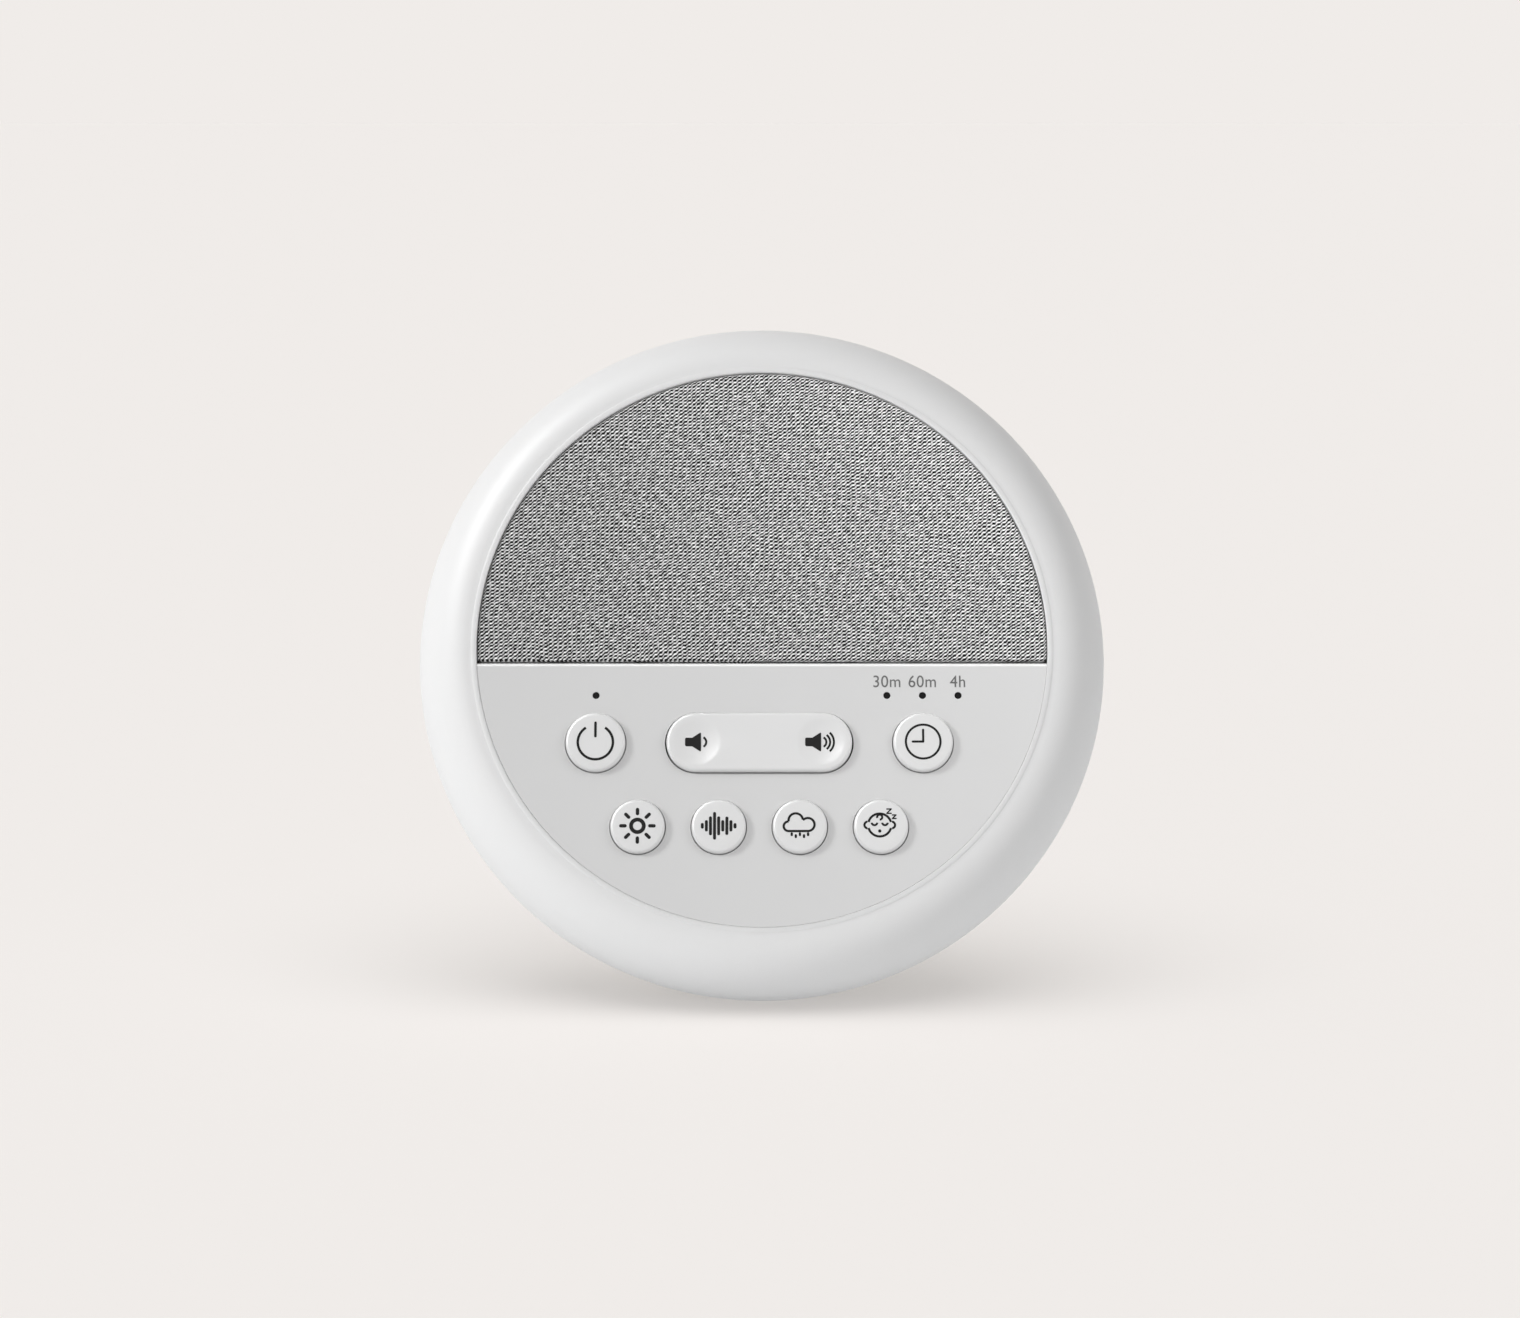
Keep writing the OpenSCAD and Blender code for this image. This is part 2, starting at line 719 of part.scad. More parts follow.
module night_light_leds() {
    led_r = light_post_x + 3.9;
    color("lightyellow") on_face() for (i = [0:ring_leds - 1]) rotate([0, 0, (i + 0.5) * 360 / ring_leds])
        translate([led_r - 1.4, -1.75, -light_depth]) cube([2.8, 3.5, 1.2]);
}

module main_board() {
    color("green") difference() {
        translate([-main_board_w / 2, face_y + main_board_rear - main_board_l, main_board_z])
            cube([main_board_w, main_board_l, board_t]);
        for (p = main_post_xy) translate([p.x, face_y + p.y, main_board_z - 1])
            cylinder(r = small_screw_d / 2 + 0.2, h = board_t + 2);
    }
}

module main_board_parts() {
    top = main_board_z + board_t;
    front = face_y + main_board_rear - main_board_l;
    color("dimgray") {
        // Processor and amplifier
        for (s = [-1, 1]) translate([s * 4.5 - 2.5, front + 1, top]) cube([5, 5, 1]);
        // Smoothing capacitors
        for (x = [-12, 12]) translate([x, front + 9, top]) cylinder(d = 4, h = 5.4);
        // Sockets for the speaker's and the boards' leads
        for (x = [-12.5, 7.5]) translate([x, front + 13, top]) cube([5, 4, 4.5]);
    }
}

module main_board_screws() {
    color("silver") for (p = main_post_xy) translate([p.x, face_y + p.y, main_board_z + board_t]) {
        cylinder(d = small_head_d, h = small_head_h);
        translate([0, 0, -board_screw_l]) cylinder(d = small_screw_d, h = board_screw_l);
    }
}

module dc_jack() {
    rear = face_y + foot_reach - 0.4;
    body_w = 9;
    color("black") translate([0, rear, jack_z]) difference() {
        union() {
            rotate([90, 0, 0]) cylinder(r = jack_r, h = jack_l);
            translate([-body_w / 2, -jack_l, -jack_h / 2]) cube([body_w, jack_l - wall - 0.4, jack_h]);
        }
        rotate([90, 0, 0]) difference() {
            translate([0, 0, -1]) cylinder(d = plug_d + 0.2, h = jack_bore + 1);
            translate([0, 0, 1]) cylinder(d = pin_d, h = jack_bore);
        }
    }
}

// ---- Speaker ----

module at_speaker() {
    on_face() translate([0, speaker_y, 0]) children();
}

// A disc at each of the speaker's four screws
module at_speaker_screws(r, front, back) {
    for (a = speaker_screw_angles) rotate([0, 0, a]) at([speaker_screw_r, 0])
        disc(r, front, back);
}

// The flange: a ring with an ear for each screw
module speaker_flange(inner, front, back) {
    plate(front, back) difference() {
        union() {
            circle(r = speaker_r);
            for (a = speaker_screw_angles) rotate(a) translate([speaker_screw_r, 0])
                circle(r = speaker_ear_r);
        }
        circle(r = inner);
    }
}

module speaker_gasket() {
    color("black") at_speaker() difference() {
        speaker_flange(speaker_open_r, frame_back, basket_depth);
        at_speaker_screws(small_screw_d / 2 + 0.2, 0, basket_depth + 1);
    }
}

module speaker_basket() {
    flange_back = basket_depth + flange_plate;
    window_w = 12;
    window_front = flange_back + 1.2;
    window_back = spider_depth - 0.6;
    spider_back = spider_depth + spider_t;
    color("dimgray") at_speaker() difference() {
        union() {
            speaker_flange(speaker_open_r + basket_skin / 2, basket_depth, flange_back);
            rotate_extrude() polygon([
                [speaker_open_r, -basket_depth],
                [speaker_open_r + basket_skin, -basket_depth],
                [speaker_open_r + basket_skin, -flange_back],
                [basket_rear_r + basket_skin, -basket_back],
                [basket_rear_r + basket_skin, -magnet_depth],
                [magnet_gap_r, -magnet_depth],
                [magnet_gap_r, -basket_back],
                [basket_rear_r - basket_skin, -basket_back],
                [basket_rear_r - basket_skin, -spider_back],
                [basket_rear_r + basket_skin, -spider_back],
                [speaker_open_r, -flange_back]
            ]);
        }
        // Windows
        for (a = [0:90:270]) rotate([0, 0, a])
            translate([basket_rear_r - 2, -window_w / 2, -window_back])
                cube([speaker_r, window_w, window_back - window_front]);
        at_speaker_screws(small_screw_d / 2 + 0.1, 0, flange_back + 1);
    }
}

module speaker_magnet() {
    color("silver") at_speaker() {
        washer(magnet_d / 2, magnet_gap_r, magnet_depth, magnet_back + eps);
        disc(magnet_d / 2, magnet_back, magnet_back + pole_plate);
        // Pole inside the voice coil
        disc(coil_d / 2 - coil_wall - 0.4, magnet_depth - 1, magnet_back + eps);
    }
}

module speaker_cone() {
    cap_rise = 1.8;
    cap_w = 1.2;
    cap_r = coil_d / 2 + cap_w;
    cap_depth = coil_depth - cap_w * cone_h / (cone_d / 2 - coil_d / 2) + cone_paper / 2;
    color("darkslategray") at_speaker() rotate_extrude() {
        polygon([
            [cone_d / 2, -cone_depth],
            [cone_d / 2, -cone_depth - cone_paper],
            [coil_d / 2, -coil_depth - cone_paper],
            [coil_d / 2, -coil_depth]
        ]);
        // Dust cap over the coil
        polygon(concat(
            oval(0, -cap_depth, cap_r, cap_rise, 0, 90),
            oval(0, -cap_depth, cap_r - cone_paper, cap_rise - cone_paper, 90, 0)
        ));
    }
}

module voice_coil() {
    coil_front = coil_depth - 0.2;
    coil_back = magnet_back - cone_travel - 1.2;
    color("chocolate") at_speaker()
        washer(coil_d / 2, coil_d / 2 - coil_wall, coil_front, coil_back);
}

module cone_surround() {
    inner = cone_d / 2;
    roll = (speaker_open_r - inner) / 2;
    color("black") at_speaker() rotate_extrude() {
        translate([inner + roll, -cone_depth]) intersection() {
            difference() {
                circle(r = roll);
                circle(r = roll - surround_skin);
            }
            translate([-roll, 0]) square([2 * roll, roll]);
        }
        // Its two edges, against the cone and against the basket
        for (r = [inner, speaker_open_r - surround_skin])
            translate([r, -cone_depth - cone_paper]) square([surround_skin, cone_paper + eps]);
    }
}

module cone_spider() {
    color("goldenrod") at_speaker()
        washer(basket_rear_r, coil_d / 2, spider_depth, spider_depth + spider_t);
}

module speaker_screws() {
    back = basket_depth + flange_plate;
    color("silver") at_speaker() {
        at_speaker_screws(small_head_d / 2, back, back + small_head_h);
        at_speaker_screws(small_screw_d / 2, back - speaker_screw_l, back);
    }
}

rear_housing();
night_light_ring();
front_frame();
control_panel();
grille_frame();
speaker_cloth();
speaker_gasket();
speaker_basket();
speaker_magnet();
speaker_cone();
voice_coil();
cone_surround();
cone_spider();
speaker_screws();
power_button();
timer_button();
light_button();
noise_button();
rain_button();
lullaby_button();
volume_rocker();
rocker_pin();
power_plunger();
timer_plunger();
light_plunger();
noise_plunger();
rain_plunger();
lullaby_plunger();
rocker_plungers();
tact_switches();
button_board();
button_board_screws();
indicator_leds();
indicator_lenses();
night_light_board();
night_light_leds();
main_board();
main_board_parts();
main_board_screws();
dc_jack();
housing_screws();
rubber_feet();
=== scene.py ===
# %% [markdown]
# # A bedside white noise machine
#
# The machine is a round white puck that leans back on a foot. Its face has a grey knitted
# speaker cloth above and a white panel with soft buttons below, and a milky ring of light
# runs round them. The construction already exists as CAD solids, so this lesson loads them,
# keeps the ones whose shape is right, and models the pieces that the eye rests on again,
# with soft edges, printed signs and real materials.

# %% Load the construction
import json
import math

import bmesh
import bpy
from mathutils import Matrix, Vector

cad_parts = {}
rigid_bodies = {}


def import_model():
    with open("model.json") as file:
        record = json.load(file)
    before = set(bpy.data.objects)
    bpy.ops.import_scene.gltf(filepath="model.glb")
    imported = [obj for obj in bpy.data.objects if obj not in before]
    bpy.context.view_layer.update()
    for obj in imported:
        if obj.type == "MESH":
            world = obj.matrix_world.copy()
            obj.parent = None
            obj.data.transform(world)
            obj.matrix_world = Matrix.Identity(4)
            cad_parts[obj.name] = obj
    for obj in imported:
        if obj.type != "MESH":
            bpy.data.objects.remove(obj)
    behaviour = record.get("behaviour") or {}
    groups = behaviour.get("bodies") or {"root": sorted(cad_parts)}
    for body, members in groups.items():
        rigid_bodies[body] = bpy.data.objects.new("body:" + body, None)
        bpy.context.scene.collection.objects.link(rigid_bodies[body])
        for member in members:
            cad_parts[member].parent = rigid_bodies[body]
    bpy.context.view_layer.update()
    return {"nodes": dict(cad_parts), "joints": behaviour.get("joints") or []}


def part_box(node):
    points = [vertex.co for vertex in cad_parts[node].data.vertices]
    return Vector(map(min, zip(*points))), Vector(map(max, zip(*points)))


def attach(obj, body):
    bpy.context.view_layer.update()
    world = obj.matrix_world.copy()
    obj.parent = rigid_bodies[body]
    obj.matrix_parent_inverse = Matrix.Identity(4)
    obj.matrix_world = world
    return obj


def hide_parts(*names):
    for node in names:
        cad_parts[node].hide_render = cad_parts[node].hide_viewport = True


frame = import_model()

scene = bpy.context.scene
nodes = frame["nodes"]

# %% [markdown]
# ## Where the face is
#
# Everything on the face is easiest to draw flat: x to the right, y up the face, z out of it,
# in millimetres. The rocker's hinge already runs up the face, so its axis gives the tilt,
# and the lowest point of the ring gives the height. One matrix then carries a flat drawing
# to its place on the leaning machine.

# %% Sizes of the body, in millimetres
MM = 0.001
RING_R = 63.5  # the ring where it is widest
SIDE_R = 21.6  # the curve of its side, from the front to the back
RING_DEPTH = 12.2  # how far behind the face it is widest
SPLIT_DEPTH = 21.0  # how far behind the face the rear housing begins
LIP_R = 52.3  # the ring's lip, round the face
BEAD_R = 0.5
GROOVE_W = 1.0
WALL = 2.2
SHOULDER_R = LIP_R + 2 * BEAD_R + GROOVE_W

rocker_hinge = next(j for j in frame["joints"] if j["name"] == "rocker_tip")
TILT = math.atan2(rocker_hinge["axis"][1], rocker_hinge["axis"][2])
ring_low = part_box("night_light_ring")[0]
mid_r = RING_R - SIDE_R
face_up = (mid_r * math.cos(TILT) + RING_DEPTH * math.sin(TILT) + SIDE_R) * MM
face_back = (
    SHOULDER_R * math.sin(TILT) - RING_DEPTH * math.cos(TILT)
    + math.hypot((RING_R - SHOULDER_R) * math.sin(TILT), RING_DEPTH * math.cos(TILT))
) * MM
FACE = Vector((0.0, ring_low.y + face_back, ring_low.z + face_up))
ON_FACE = (
    Matrix.Translation(FACE)
    @ Matrix.Rotation(math.pi / 2 - TILT, 4, "X")
    @ Matrix.Scale(MM, 4)
)
print("the face leans back by %.2f degrees" % math.degrees(TILT))
print("middle of the face, in metres:", tuple(round(v, 5) for v in FACE))

# %% [markdown]
# ## The camera
#
# The photograph was taken with a long lens, from a little above the table, so the machine
# looks almost flat. The camera looks along the photograph's direction, and is then moved
# sideways and up until the middle of the face lands on the pixel where the photograph has it.

# %% Camera at the photograph's angle
PHOTO_W, PHOTO_H = 1520, 1318
FACE_PX = (762.0, 645.4)  # where the photograph has the middle of the face
LOOK_DOWN = math.radians(7.6)
LENS, SENSOR = 100.0, 36.0
DISTANCE = 0.7731  # metres from the face

view = Vector((0.0, math.cos(LOOK_DOWN), -math.sin(LOOK_DOWN)))
view_up = Vector((0.0, math.sin(LOOK_DOWN), math.cos(LOOK_DOWN)))
per_px = SENSOR / LENS / PHOTO_W * DISTANCE
across = (FACE_PX[0] - PHOTO_W / 2) * per_px
upward = (PHOTO_H / 2 - FACE_PX[1]) * per_px

camera_data = bpy.data.cameras.new("camera")
camera_data.lens = LENS
camera_data.sensor_width = SENSOR
camera_data.dof.use_dof = False
camera = bpy.data.objects.new("camera", camera_data)
camera.location = FACE - view * DISTANCE - Vector((1, 0, 0)) * across - view_up * upward
camera.rotation_euler = (math.pi / 2 - LOOK_DOWN, 0, 0)
scene.collection.objects.link(camera)
scene.camera = camera
print("one pixel is %.3f mm at the face" % (per_px / MM))

# %% [markdown]
# ## Materials
#
# Each material starts from what the real surface is. Three small functions carry the work:
# one turns an sRGB hex colour to linear, one adds a node with its settings and links, and one
# starts a material with a Principled shader whose plain numbers sit on its own sockets.

# %% Helpers for materials
def linear(hex_colour):
    """A colour such as #D9D9D6 as linear RGBA."""
    channels = [int(hex_colour[i:i + 2], 16) / 255 for i in (1, 3, 5)]
    return [c / 12.92 if c <= 0.04045 else ((c + 0.055) / 1.055) ** 2.4 for c in channels] + [1.0]


def add(tree, kind, inputs=None, **settings):
    """A node of that kind, with its settings and its inputs: values, sockets or nodes to link."""
    node = tree.nodes.new("ShaderNode" + kind)
    for key, value in settings.items():
        setattr(node, key, value)
    for key, value in (inputs or {}).items():
        if isinstance(value, bpy.types.Node):
            value = value.outputs[0]
        if isinstance(value, bpy.types.NodeSocket):
            tree.links.new(value, node.inputs[key])
        else:
            node.inputs[key].default_value = value
    return node


def start_material(name, colour, roughness, **sockets):
    """A material, its tree and its Principled shader; a socket's name has _ for each space."""
    material = bpy.data.materials.new(name)
    material.use_nodes = True
    tree = material.node_tree
    shader = tree.nodes["Principled BSDF"]
    shader.inputs["Base Color"].default_value = linear(colour)
    shader.inputs["Roughness"].default_value = roughness
    for key, value in sockets.items():
        shader.inputs[key.replace("_", " ")].default_value = value
    return material, tree, shader


def grain(tree, shader, size_mm, strength, depth_mm):
    """Fine moulded grain: bumps of a size in millimetres, from the object's own coordinates."""
    place = add(tree, "TexCoord")
    field = add(tree, "TexNoise", {
        "Vector": place.outputs["Object"], "Scale": 1 / (size_mm * MM), "Detail": 2.0,
    }, noise_dimensions="4D")
    bump = add(tree, "Bump", {
        "Height": field.outputs["Fac"], "Strength": strength, "Distance": depth_mm * MM,
    })
    tree.links.new(bump.outputs["Normal"], shader.inputs["Normal"])


def mottle(tree, shader, light, dark, size_mm):
    """A colour that drifts a little between two near ones, as moulded plastic does."""
    place = add(tree, "TexCoord")
    field = add(tree, "TexNoise", {
        "Vector": place.outputs["Object"], "Scale": 1 / (size_mm * MM), "Detail": 3.0,
    })
    blend = add(tree, "Mix", {
        "Factor": field.outputs["Fac"], "A": linear(light), "B": linear(dark),
    }, data_type="RGBA")
    tree.links.new(blend.outputs["Result"], shader.inputs["Base Color"])


# %% [markdown]
# The panel, buttons and housing are moulded ABS with a satin, finely spark-eroded face, which
# shows the eye a wide, soft highlight. The buttons are a little paler and smoother than the
# panel, so that they stand out from it. The ring is milky polycarbonate: light goes a little
# way in and comes out soft, which is what subsurface scattering gives. Real grain is near
# 0.05 mm, too fine for the picture, so it is drawn at about 0.2 mm and very low.

# %% Moulded plastics
def moulded_abs(name, light, dark, roughness):
    material, tree, shader = start_material(name, light, roughness)
    mottle(tree, shader, light, dark, size_mm=25)
    grain(tree, shader, size_mm=0.22, strength=0.12, depth_mm=0.02)
    return material


def milky_polycarbonate():
    material, tree, shader = start_material(
        "milky_polycarbonate", "#F4F4F4", 0.45, IOR=1.58, Subsurface_Weight=0.35,
        Subsurface_Scale=0.003, Subsurface_Radius=(1.0, 0.98, 0.96),
    )
    mottle(tree, shader, "#F4F4F4", "#EFEFEF", size_mm=40)
    grain(tree, shader, size_mm=0.3, strength=0.06, depth_mm=0.02)
    return material


PANEL_ABS = moulded_abs("satin_abs_panel", "#D4D4D4", "#D0D0D0", 0.38)
BUTTON_ABS = moulded_abs("satin_abs_buttons", "#DEDEDE", "#DADADA", 0.28)
HOUSING_ABS = moulded_abs("satin_abs_housing", "#EAEAE8", "#E4E4E2", 0.45)
FRAME_ABS = moulded_abs("plain_abs_frame", "#CFCFCC", "#C8C8C5", 0.5)
DARK_ABS = moulded_abs("dark_abs_grille", "#26262A", "#1E1E21", 0.6)
RING_PC = milky_polycarbonate()
print("moulded outside:", PANEL_ABS.name, BUTTON_ABS.name, HOUSING_ABS.name, RING_PC.name)
print("moulded inside:", FRAME_ABS.name, DARK_ABS.name)

# %% [markdown]
# The signs are pad printed in dark grey ink: matt, slightly uneven, and a hair proud of the
# plastic it sits on. It hardly reflects, so a sign stays dark where its button shines.

# %% Printing ink
def printing_ink(name, light, dark):
    material, tree, shader = start_material(name, light, 0.62, Specular_IOR_Level=0.2)
    mottle(tree, shader, light, dark, size_mm=1.2)
    grain(tree, shader, size_mm=0.15, strength=0.2, depth_mm=0.01)
    return material


DARK_INK = printing_ink("dark_grey_ink", "#141414", "#1E1E1E")
PALE_INK = printing_ink("mid_grey_ink", "#6E6E6E", "#7C7C7C")
print("inks:", DARK_INK.name, "and", PALE_INK.name)

# %% [markdown]
# The speaker cloth is a warp knit of light grey polyester. Its real loops stand 0.74 mm apart
# across and 0.58 mm apart up the cloth, with a small dark hole beside each loop, and the yarn
# slants up to the right between the holes. So fine a knit melts to plain grey in a picture of
# the whole machine, so it is drawn about an eighth coarser. The pattern follows the cloth, and is
# drawn from the cloth's own UV map, whose unit is a millimetre: four crossed waves add up to a
# hole at each place of that grid, a slow noise bends the rows a little, as on any stretched
# knit, and another, drawn out along the slant of the yarn, makes some loops fuller than others.

# %% Knitted cloth
KNIT_COLUMN = 0.84
KNIT_ROW = 0.66
ROW_WAVE, RISING_WAVE, FALLING_WAVE, COLUMN_WAVE = 0.85, 1.1, 0.45, 0.4
BENDS = ((0.12, 1.1), (1.4, 0.26))  # a noise's waves per millimetre, and how far it moves a loop
FUZZ = 2.6
FUZZ_SCALE = 1.9
STREAK_TURN = math.radians(38)
STREAK_LENGTH = 2.4
# The crown of each loop is painted pale and its sides grey: a painted highlight and painted shade
# on the round yarn.
LIT_CROWN, SHOULDER = -1.9, -0.5  # sums of the waves at which the yarn is painted palest (highlight) and greyest (shade)
HOLE_RIM, HOLE_FLOOR = -0.3, 0.2  # and those between which it sinks into a hole, painted near black
KNIT_DEPTH = 0.12


def bent_rows(tree, uv):
    """The cloth's millimetres, with the rows bent slowly and each loop a little out of place."""
    place = uv
    for scale, amount in BENDS:
        drift = add(tree, "TexNoise", {"Vector": uv, "Scale": scale, "Detail": 1.0})
        centred = add(tree, "VectorMath", {
            0: drift.outputs["Color"], 1: (0.5, 0.5, 0.5),
        }, operation="SUBTRACT")
        bend = add(tree, "VectorMath", {0: centred, "Scale": amount}, operation="SCALE")
        place = add(tree, "VectorMath", {0: place, 1: bend}, operation="ADD")
    return place


def knit_height(tree, uv):
    """The four crossed waves and the noise, added up: low on a loop, high in a hole."""
    bent = add(tree, "SeparateXYZ", {0: bent_rows(tree, uv)})
    column = add(tree, "Math", {
        0: bent.outputs["X"], 1: 2 * math.pi / KNIT_COLUMN,
    }, operation="MULTIPLY")
    row = add(tree, "Math", {
        0: bent.outputs["Y"], 1: 2 * math.pi / KNIT_ROW,
    }, operation="MULTIPLY")
    rising = add(tree, "Math", {0: column, 1: row}, operation="SUBTRACT")
    falling = add(tree, "Math", {0: column, 1: row}, operation="ADD")
    along = add(tree, "Mapping", {
        "Vector": uv, "Rotation": (0, 0, STREAK_TURN), "Scale": (STREAK_LENGTH, 1.0, 1.0),
    }, vector_type="TEXTURE")
    fuzz = add(tree, "TexNoise", {"Vector": along, "Scale": FUZZ_SCALE, "Detail": 2.0})
    centred = add(tree, "Math", {0: fuzz.outputs["Fac"], 1: 0.5}, operation="SUBTRACT")
    total = add(tree, "Math", {0: centred, 1: FUZZ}, operation="MULTIPLY")
    for turn, share in (
        (row, ROW_WAVE), (rising, RISING_WAVE), (falling, FALLING_WAVE), (column, COLUMN_WAVE),
    ):
        wave = add(tree, "Math", {0: turn}, operation="COSINE")
        total = add(tree, "Math", {0: wave, 1: share, 2: total}, operation="MULTIPLY_ADD")
    return total


def knitted_polyester():
    material, tree, shader = start_material(
        "knitted_polyester", "#D9D8D6", 0.85,
        Sheen_Weight=0.1, Sheen_Roughness=0.5, Specular_IOR_Level=0.2,
    )
    total = knit_height(tree, add(tree, "UVMap", uv_map="cloth_mm").outputs["UV"])
    # Painted highlight: the crown of each loop is painted near white.
    crown_highlight = add(tree, "MapRange", {
        "Value": total, "From Min": LIT_CROWN, "From Max": SHOULDER, "To Min": 1.0, "To Max": 0.0,
    })
    hole = add(tree, "MapRange", {
        "Value": total, "From Min": HOLE_RIM, "From Max": HOLE_FLOOR,
    }, interpolation_type="SMOOTHSTEP")
    # The yarn's colour runs from painted shade, grey on the sides of a loop, to a painted
    # highlight, white on its crown.
    yarn = add(tree, "Mix", {
        "Factor": crown_highlight, "A": linear("#A9A9A9"), "B": linear("#FFFFFF"),
    }, data_type="RGBA")
    # Each hole is painted near black, partly for the dark grille behind the cloth and partly as
    # painted shade inside the hole.
    colour = add(tree, "Mix", {
        "Factor": hole, "A": yarn.outputs["Result"], "B": linear("#040404"),
    }, data_type="RGBA")
    tree.links.new(colour.outputs["Result"], shader.inputs["Base Color"])
    height = add(tree, "Math", {0: 1.0, 1: hole}, operation="SUBTRACT")
    bump = add(tree, "Bump", {"Height": height, "Strength": 0.4, "Distance": KNIT_DEPTH * MM})
    tree.links.new(bump.outputs["Normal"], shader.inputs["Normal"])
    return material


KNIT = knitted_polyester()
print("knit: %d columns and %d rows in 10 mm" % (round(10 / KNIT_COLUMN), round(10 / KNIT_ROW)))

# %% [markdown]
# The remaining finishes are small. Smoked acrylic makes the windows look like black dots, the
# zinc plating on the screws gives a cool metal gleam, black nylon lines the power inlet, and
# soft rubber under the foot is dull and dark. The boards, coil, cone and foam inside take the
# plain colours that such parts have. All of them share one recipe: a colour that drifts a
# little and a fine grain, with the roughness and metal of each real material.

# %% Small finishes
def plain_finish(name, light, dark, roughness, grain_mm=0.3, **sockets):
    material, tree, shader = start_material(name, light, roughness, **sockets)
    mottle(tree, shader, light, dark, size_mm=6)
    grain(tree, shader, grain_mm, strength=0.15, depth_mm=0.02)
    return material


SMOKED = plain_finish("smoked_acrylic", "#050506", "#08080A", 0.45, IOR=1.3)
ZINC = plain_finish("zinc_plated_steel", "#B4B6B8", "#9FA2A5", 0.32, 0.1, Metallic=1.0)
NYLON = plain_finish("black_nylon", "#141414", "#1B1B1B", 0.4)
RUBBER = plain_finish("soft_rubber", "#3A3A3A", "#444443", 0.8)
BOARD = plain_finish("solder_mask", "#12502C", "#0F4526", 0.35)
WHITE_BOARD = plain_finish("white_solder_mask", "#E2E2DF", "#DADAD6", 0.35)
EPOXY = plain_finish("clear_epoxy", "#E8DD8C", "#DDD07A", 0.2)
COPPER = plain_finish("enamelled_copper", "#B06A3C", "#9A5930", 0.3, 0.1, Metallic=1.0)
PAPER = plain_finish("pressed_paper", "#2B2B2D", "#232325", 0.8)
FOAM = plain_finish("closed_cell_foam", "#1D1D1D", "#262626", 0.9, 0.5)
DIPPED_CLOTH = plain_finish("resin_dipped_cloth", "#B7924A", "#A98440", 0.8, 0.4)
print("materials in the file:", len(bpy.data.materials))

# %% [markdown]
# ## Tools for shapes
#
# A piece is drawn in a bmesh, in face millimetres. `finish_piece` carries it to its place,
# shades it smooth except at sharp edges, hangs it on the body it moves with, and hides the
# CAD nodes it stands for.

# %% Finish a piece
def finish_piece(name, bm, body, material, stands_for=(), sharp=50):
    """Makes a piece of a drawing; edges that bend by more than `sharp` degrees stay sharp."""
    bmesh.ops.transform(bm, matrix=ON_FACE, verts=bm.verts)
    mesh = bpy.data.meshes.new(name)
    bm.to_mesh(mesh)
    bm.free()
    mesh.materials.append(material)
    mesh.polygons.foreach_set("use_smooth", [True] * len(mesh.polygons))
    mesh.set_sharp_from_angle(angle=math.radians(sharp))
    piece = bpy.data.objects.new(name, mesh)
    scene.collection.objects.link(piece)
    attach(piece, body)
    if stands_for:
        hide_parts(*stands_for)
    print("%-22s %6d faces" % (name, len(mesh.polygons)))
    return piece


# %% [markdown]
# Two ways of drawing cover almost every piece. Round pieces are spun: a half section is a
# chain of points, and `spin` sweeps it round the axis. Its last copy is merged with the first,
# or the seam would show as a line.

# %% Curves and spun shapes
def oval(x, y, rx, ry, start, end, steps):
    """Points on an oval arc, between two angles in degrees."""
    turns = [math.radians(start + (end - start) * i / steps) for i in range(steps + 1)]
    return [(x + rx * math.cos(a), y + ry * math.sin(a)) for a in turns]


def spun(section, closed, steps):
    """A bmesh of a half section (radius, height) swept round the z axis."""
    bm = bmesh.new()
    verts = [bm.verts.new((r, 0, z)) for r, z in section]
    pairs = list(zip(verts, verts[1:])) + ([(verts[-1], verts[0])] if closed else [])
    edges = [bm.edges.new(pair) for pair in pairs]
    bmesh.ops.spin(
        bm, geom=verts + edges, cent=(0, 0, 0), axis=(0, 0, 1), angle=2 * math.pi,
        steps=steps, use_merge=True,
    )
    bmesh.ops.remove_doubles(bm, verts=bm.verts, dist=1e-4)
    bmesh.ops.recalc_face_normals(bm, faces=bm.faces)
    return bm


# %% [markdown]
# Flat pieces are filled from their outlines, holes included. A bevel on so many short edges
# would overlap itself, so the rims are rounded by a few narrow insets that step down instead.

# %% Flat shapes
def loop_edges(bm, points):
    """A closed loop of edges through flat points."""
    verts = [bm.verts.new((x, y, 0)) for x, y in points]
    return [bm.edges.new((verts[i], verts[(i + 1) % len(verts)])) for i in range(len(verts))]


def flat_region(bm, loops):
    """Fills the first loop, less the other ones, and returns its faces, all facing up."""
    edges = [e for loop in loops for e in loop_edges(bm, loop)]
    filled = bmesh.ops.triangle_fill(bm, edges=edges, use_beauty=True, normal=(0, 0, 1))
    faces = [g for g in filled["geom"] if isinstance(g, bmesh.types.BMFace)]
    turned = [f for f in faces if f.normal.z < 0]
    bmesh.ops.reverse_faces(bm, faces=turned)
    return faces


def step_in(bm, faces, width):
    """One narrow inset along every rim of a flat region."""
    bmesh.ops.inset_region(
        bm, faces=faces, thickness=width, use_boundary=True, use_even_offset=True
    )


FLAT_MARGIN = 0.04


